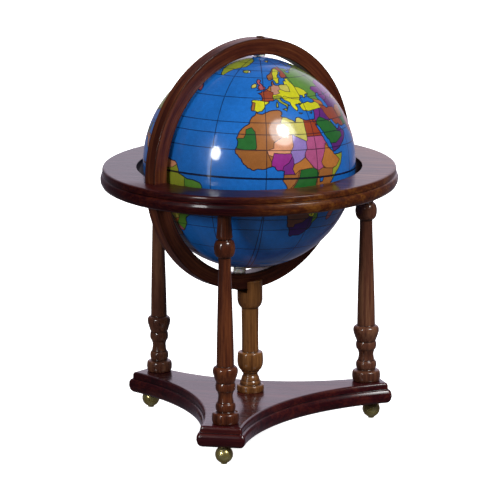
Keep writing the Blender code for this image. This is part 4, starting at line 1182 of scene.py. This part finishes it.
def coastline(points, closed=True):
    """A coast that runs smoothly through its points, with small bays and capes between."""
    count = len(points)
    made = []
    for i in range(count if closed else count - 1):
        a, b, c, d = (
            np.array(points[(i + k) % count] if closed else points[min(max(i + k, 0), count - 1)])
            for k in (-1, 0, 1, 2)
        )
        narrow = math.cos(math.radians((b[1] + c[1]) / 2))
        length = math.hypot((c[0] - b[0]) * narrow, c[1] - b[1])
        steps = max(1, min(COAST_STEPS, round(length / COAST_SPACING)))
        for step in range(steps):
            x, y = on_spline(a, b, c, d, step / steps)
            shift = WOBBLE * math.sin(WOBBLE_WAVES[0] * x + WOBBLE_WAVES[1] * y) if step else 0.0
            made.append((float(x + shift / max(narrow, 0.2)), float(y + shift)))
    if not closed:
        made.append(points[-1])
    return made


def half_in_degrees(width):
    """Half of a width in millimetres on the ball, in degrees."""
    return math.degrees(width / 2 / BALL_RADIUS)


def stroke(a, b, width):
    """A pen stroke with pointed ends between two points of the map."""
    half = half_in_degrees(width)
    narrow = max(math.cos(math.radians((a[1] + b[1]) / 2)), 0.03)
    run = np.array(((b[0] - a[0]) * narrow, b[1] - a[1]))
    length = float(np.hypot(*run))
    if length < 1e-6:
        return None
    run /= length
    side = np.array((-run[1], run[0])) * half
    ahead = run * half
    side[0] /= narrow
    ahead[0] /= narrow
    made = (a + side, a - ahead, a - side, b - side, b + ahead, b + side)
    low, high = MAP_EDGE, MAP_EDGE + 360.0
    return [(min(max(float(x), low), high), float(y)) for x, y in made]


def band_along_parallel(latitude, width):
    half = half_in_degrees(width)
    low, high = latitude - half, latitude + half
    longitudes = np.arange(MAP_EDGE, MAP_EDGE + 360.01, MAP_GRID)
    return [
        [(a, low), (b, low), (b, high), (a, high)]
        for a, b in zip(longitudes[:-1], longitudes[1:])
    ]


def band_along_meridian(longitude_at, low, high, width):
    rows = []
    for latitude in np.linspace(low, high, max(2, int(abs(high - low) / MAP_GRID)) + 1):
        half = half_in_degrees(width) / math.cos(math.radians(latitude))
        longitude = longitude_at(latitude)
        rows.append(((longitude - half, latitude), (longitude + half, latitude)))
    return [[a[0], a[1], b[1], b[0]] for a, b in zip(rows, rows[1:])]


def triangulated(polygons, extra=()):
    """Cuts the whole map along the polygons' edges. Returns the points, the triangles and
    the middle of each triangle."""
    points, faces = [], []
    for polygon in polygons:
        x, y = np.array(polygon).T
        clockwise = np.dot(x, np.roll(y, -1)) < np.dot(np.roll(x, -1), y)
        start = len(points)
        points += [Vector(p) for p in polygon]
        corners = list(range(start, len(points)))
        faces.append(corners[::-1] if clockwise else corners)
    points += [Vector(p) for p in extra]
    everything = 0  # keep the whole area that the points span, and not only the polygons
    made = delaunay_2d_cdt(points, [], faces, everything, 1e-5, True)
    place = np.array([tuple(p) for p in made[0]])
    triangles = np.array(made[2])
    return place, triangles, place[triangles].mean(axis=1)


class Middles:
    """The middles of the map's triangles, sorted so that those in a polygon are found fast."""

    def __init__(self, middles):
        self.order = np.argsort(middles[:, 0], kind="stable")
        self.x, self.y = middles[self.order].T

    def inside(self, polygon):
        """The numbers of the triangles whose middles lie in the polygon."""
        corners = np.array(polygon)
        low, high = corners.min(axis=0), corners.max(axis=0)
        first, last = np.searchsorted(self.x, (low[0], high[0]))
        x, y = self.x[first:last], self.y[first:last]
        near = np.flatnonzero((y >= low[1]) & (y <= high[1]))
        x, y = x[near], y[near]
        crossed = np.zeros(len(x), bool)
        for (ax, ay), (bx, by) in zip(corners, np.roll(corners, -1, axis=0)):
            if ay == by:
                continue
            spans = (ay > y) != (by > y)
            crossed ^= spans & (x < (bx - ax) * (y - ay) / (by - ay) + ax)
        return self.order[first:last][near[crossed]]

    def marked(self, polygons):
        """Whether each triangle lies in any of the polygons."""
        found = np.zeros(len(self.order), bool)
        for polygon in polygons:
            found[self.inside(polygon)] = True
        return found


def map_polygons():
    """The land, the lakes and the regions as polygons."""
    land = [coastline(pairs(text)) for text in LAND.values()]
    coast = coastline(pairs(ANTARCTIC_COAST), closed=False)
    land.append(coast + [(MAP_EDGE + 360.0, -90.0), (MAP_EDGE, -90.0)])
    lakes = [coastline(pairs(text)) for text in LAKES.values()]
    regions = [pairs(text) for _, _, text in REGIONS]
    return land, lakes, regions


def regions_at(middles, land, lakes, regions):
    """The number of the region each triangle belongs to, or WATER."""
    number = np.full(len(middles.x), len(regions))
    for i, region in enumerate(regions):
        number[middles.inside(region)] = i
    dry = middles.marked(land) & ~middles.marked(lakes)
    return np.where(dry, number, WATER)


def region_outlines(land, lakes, regions):
    """The edges between regions: coasts, and borders."""
    ends = (MAP_EDGE, MAP_EDGE + 360.0)
    corners = [(x, y) for x in ends for y in (-90.0, 90.0)]
    points, triangles, middles = triangulated(land + lakes + regions, corners)
    numbers = regions_at(Middles(middles), land, lakes, regions)
    sides = {}
    for triangle, number in zip(triangles.tolist(), numbers.tolist()):
        for k in range(3):
            a, b = triangle[k], triangle[(k + 1) % 3]
            sides.setdefault((min(a, b), max(a, b)), []).append(number)
    coasts, borders = [], []
    for (a, b), found in sorted(sides.items()):
        if len(found) == 2 and found[0] != found[1]:
            (coasts if WATER in found else borders).append((points[a], points[b]))
    return coasts, borders


def printed_lines(coasts, borders):
    """Every kind of line, as the small polygons that it is made of."""
    thin = []
    for latitude in PARALLELS:
        thin += band_along_parallel(latitude, THIN_LINE)
    for longitude in MERIDIANS:
        thin += band_along_meridian(lambda _: longitude, -LINE_END, LINE_END, THIN_LINE)
    thin += band_along_meridian(
        lambda latitude: SEAM_SLANT * (latitude - SEAM_FROM), -LINE_END, SEAM_FROM, THIN_LINE
    )
    return {
        "thin": thin,
        "border": list(filter(None, (stroke(a, b, BORDER_LINE) for a, b in borders))),
        "coast": list(filter(None, (stroke(a, b, COAST_LINE) for a, b in coasts))),
        "equator": band_along_parallel(0.0, EQUATOR_LINE),
    }


def printed_map():
    """The whole map as flat points and triangles, with each triangle's ink."""
    land, lakes, regions = map_polygons()
    lines = printed_lines(*region_outlines(land, lakes, regions))
    strips = [strip for kind in lines.values() for strip in kind]
    groove = band_along_parallel(0.0, GROOVE_WIDTH)
    longitudes = MAP_EDGE + MAP_GRID * np.arange(int(360 / MAP_GRID) + 1)
    latitudes = np.arange(-90.0, 90.1, MAP_GRID)
    grid = [(x, y) for x in longitudes for y in latitudes]
    points, triangles, middles = triangulated(land + lakes + regions + strips + groove, grid)
    finder = Middles(middles)
    numbers = regions_at(finder, land, lakes, regions)
    # Land in no region is straw, and WATER, the last number, is ocean.
    inks = np.array([linear(*INKS[ink]) for ink in [*(r[1] for r in REGIONS), "straw", "ocean"]])
    colours = inks[numbers]
    for kind, strips in lines.items():
        under = finder.marked(strips)
        colours[under] = inks[numbers[under]] * THROUGH[kind] + LINE_INK
    return points, triangles, colours


# Where the map sits on the ball: its own pole leans a little otherwise than the pins do.
PRINT_POLE = Vector((0.040, 0.062, 0.998)).normalized()
VIEW_AZIMUTH = 11.4
FACING = -8.9  # the longitude that faces the camera
DRAWN_FROM = 40.0  # the latitude from which the print is drawn to the pins, under the washers


def on_ball(points):
    """Map points as points on the ball of radius 1, in the row frame's directions."""
    longitude, latitude = np.radians(points[:, 0]), np.radians(points[:, 1])
    turn = longitude + math.radians(-90.0 + VIEW_AZIMUTH - FACING)
    level = np.cos(latitude)
    flat = np.stack([level * np.cos(turn), level * np.sin(turn), np.sin(latitude)], 1)
    pole = Matrix.Rotation(math.radians(VIEW_AZIMUTH), 3, "Z") @ PRINT_POLE
    lean = np.array(Vector((0, 0, 1)).rotation_difference(pole).to_matrix())
    made = flat @ lean.T
    drawn = Vector(pole).rotation_difference(POLE_LINE)
    axis, angle = np.array(drawn.axis), drawn.angle
    past = (np.abs(points[:, 1]) - DRAWN_FROM) / (90.0 - DRAWN_FROM)
    turns = angle * np.clip(past, 0.0, 1.0) ** 1.5
    c, s = np.cos(turns)[:, None], np.sin(turns)[:, None]
    return made * c + np.cross(axis, made) * s + axis * (made @ axis)[:, None] * (1 - c)


def make_ball():
    points, triangles, inks = printed_map()
    depth = GROOVE_DEPTH * np.clip(1 - np.abs(points[:, 1]) / GROOVE_HALF_REACH, 0.0, 1.0)
    centre = CENTRE + POLE_LINE * BALL_SHIFT
    place = on_ball(points) * (BALL_RADIUS - depth)[:, None] + np.array(centre)
    shape = bmesh.new()
    layer = shape.loops.layers.float_color.new("inks")
    verts = [shape.verts.new(p) for p in place]
    for triangle, ink in zip(triangles.tolist(), inks.tolist()):
        face = shape.faces.new([verts[i] for i in triangle])
        for loop in face.loops:
            loop[layer] = (*ink, 1.0)
    bmesh.ops.remove_doubles(shape, verts=shape.verts, dist=2 * MERGE)
    bmesh.ops.dissolve_degenerate(shape, edges=shape.edges, dist=MERGE / 10)
    loose = [v for v in shape.verts if not v.link_faces]
    bmesh.ops.delete(shape, geom=loose, context="VERTS")
    nodes = ["globe_north_half", "globe_south_half"]
    piece = finished("printed_ball", shape, "print", "globe", nodes)
    piece.data.normals_split_custom_set_from_vertices(
        [(v.co - centre * MM).normalized() for v in piece.data.vertices]
    )


make_base_plate()
make_feet()
make_legs()
make_post()
make_horizon_ring()
make_meridian_ring()
make_pivots()
make_ball()

# --- the floor, the light and the camera ---------------------------------------------------------

VIEW_ELEVATION = 12.53
VIEW_DISTANCE = 1.1515
TARGET_BELOW_HORIZON = 2.87  # the point the camera turns about, under the top of the horizon ring
AIM_DOWN = 0.01708
AIM_RIGHT = 0.000075
ROLL = math.radians(0.313)
LENS = 352.9
FLOOR_HALF = 6.0

# Where the bright backdrop stands (across, up and towards the viewer), and the room's light
# from the side opposite it, at 0, to the backdrop itself, at 1.
BACKDROP = (0.12, 0.46, -0.87)
ROOM = (
    (0.0, (0.02, 0.018, 0.02)),
    (0.5, (0.035, 0.03, 0.035)),
    (0.8, (0.06, 0.05, 0.065)),
    (0.94, (0.20, 0.175, 0.22)),
    (0.985, (0.86, 0.77, 0.93)),
)
BOUNCE = 0.035  # the light that is added straight below, fading out at eye level

# Each lamp's direction (across, up and towards the viewer), distance, width and height in
# metres, power in watts, colour, and whether the varnish mirrors it.
WHITE = (1.0, 1.0, 1.0)
LAMPS = {
    "lamp_left": ((-0.58, 0.16, 0.80), 0.6, 0.11, 0.14, 1.1, WHITE, True),
    "strip_left": ((-0.66, 0.10, 0.74), 0.8, 0.07, 0.7, 0.4, (0.92, 0.95, 1.0), True),
    "lamp_right": ((0.55, 0.51, 0.64), 0.6, 0.14, 0.14, 1.1, WHITE, True),
    "glow_right": ((0.55, 0.49, 0.66), 0.62, 0.3, 0.3, 2.0, WHITE, True),
    "fill_below": ((0.1, -0.9, 0.42), 0.6, 0.6, 0.6, 0.45, WHITE, False),
    "fill_back": ((-0.35, 0.62, -0.70), 0.8, 0.5, 0.5, 5.0, WHITE, False),
}

scene = bpy.context.scene
azimuth = math.radians(VIEW_AZIMUTH)
elevation = math.radians(VIEW_ELEVATION)
target = Vector((0.0, 0.0, (HORIZON_TOP - TARGET_BELOW_HORIZON) * MM))
back = Vector(
    (
        math.sin(azimuth) * math.cos(elevation),
        -math.cos(azimuth) * math.cos(elevation),
        math.sin(elevation),
    )
)
right = Vector((math.cos(azimuth), math.sin(azimuth), 0.0))
up = back.cross(right)


def from_view(across, upward, towards):
    """A direction as the viewer would give it."""
    return (right * across + up * upward + back * towards).normalized()


def make_camera():
    data = bpy.data.cameras.new("camera")
    data.lens = LENS
    data.sensor_width = 36.0
    data.clip_start = 0.05
    data.clip_end = 50.0
    camera = bpy.data.objects.new("camera", data)
    scene.collection.objects.link(camera)
    place = target + back * VIEW_DISTANCE
    aim = target - up * AIM_DOWN + right * AIM_RIGHT
    behind = (place - aim).normalized()
    level = Vector((0, 0, 1)).cross(behind).normalized()
    upward = behind.cross(level)
    rolled_right = level * math.cos(ROLL) - upward * math.sin(ROLL)
    rolled_up = upward * math.cos(ROLL) + level * math.sin(ROLL)
    matrix = Matrix((rolled_right, rolled_up, behind)).transposed().to_4x4()
    matrix.translation = place
    camera.matrix_world = matrix
    scene.camera = camera


def make_floor():
    shape = bmesh.new()
    bmesh.ops.create_grid(shape, x_segments=1, y_segments=1, size=FLOOR_HALF)
    floor = new_object("floor", shape)
    n = Look("pale_floor")
    cloud = n.noise(n.place(9.0), 2.0)
    n.set(
        Base_Color=n.ramp(cloud, (0.3, (0.90, 0.90, 0.90)), (0.7, (0.93, 0.93, 0.93))),
        Roughness=0.9,
        Specular_IOR_Level=0.0,
        Emission_Color=(1.0, 1.0, 1.0, 1.0),
        Emission_Strength=1.0,
    )
    floor.data.materials.append(n.material)
    floor.visible_glossy = False
    floor.visible_diffuse = False
    floor.visible_shadow = False


def make_world():
    """A white backdrop behind the object, in a dim room."""
    world = bpy.data.worlds.new("studio")
    world.use_nodes = True
    n = Tree(world.node_tree)
    n.tree.nodes.clear()
    where = n.add("ShaderNodeTexCoord").outputs["Generated"]
    direction = {0: where, 1: tuple(from_view(*BACKDROP))}
    nearness = n.add("ShaderNodeVectorMath", direction, operation="DOT_PRODUCT").outputs["Value"]
    height = n.add("ShaderNodeSeparateXYZ", {0: where}).outputs["Z"]
    room = n.ramp(n.range(nearness, -1.0, 1.0, 0.0, 1.0), *ROOM)
    both = n.mix("ADD", 1.0, room, n.range(height, 0.0, -1.0, 0.0, BOUNCE))
    shade = n.add("ShaderNodeBackground", {"Color": both, "Strength": 1.0})
    n.add("ShaderNodeOutputWorld", {"Surface": shade.outputs[0]})
    scene.world = world


def make_lamp(name, direction, distance, width, height, power, colour, mirrored):
    """A soft panel that faces the globe."""
    data = bpy.data.lights.new(name, "AREA")
    data.shape = "ELLIPSE"
    data.size = width
    data.size_y = height
    data.energy = power
    data.color = colour
    lamp = bpy.data.objects.new(name, data)
    scene.collection.objects.link(lamp)
    way = from_view(*direction)
    lamp.location = target + way * distance
    lamp.rotation_mode = "QUATERNION"
    lamp.rotation_quaternion = way.to_track_quat("Z", "Y")
    lamp.visible_glossy = mirrored


make_camera()
make_floor()
make_world()
for name, settings in LAMPS.items():
    make_lamp(name, *settings)
scene.view_settings.view_transform = "Standard"
scene.view_settings.look = "None"
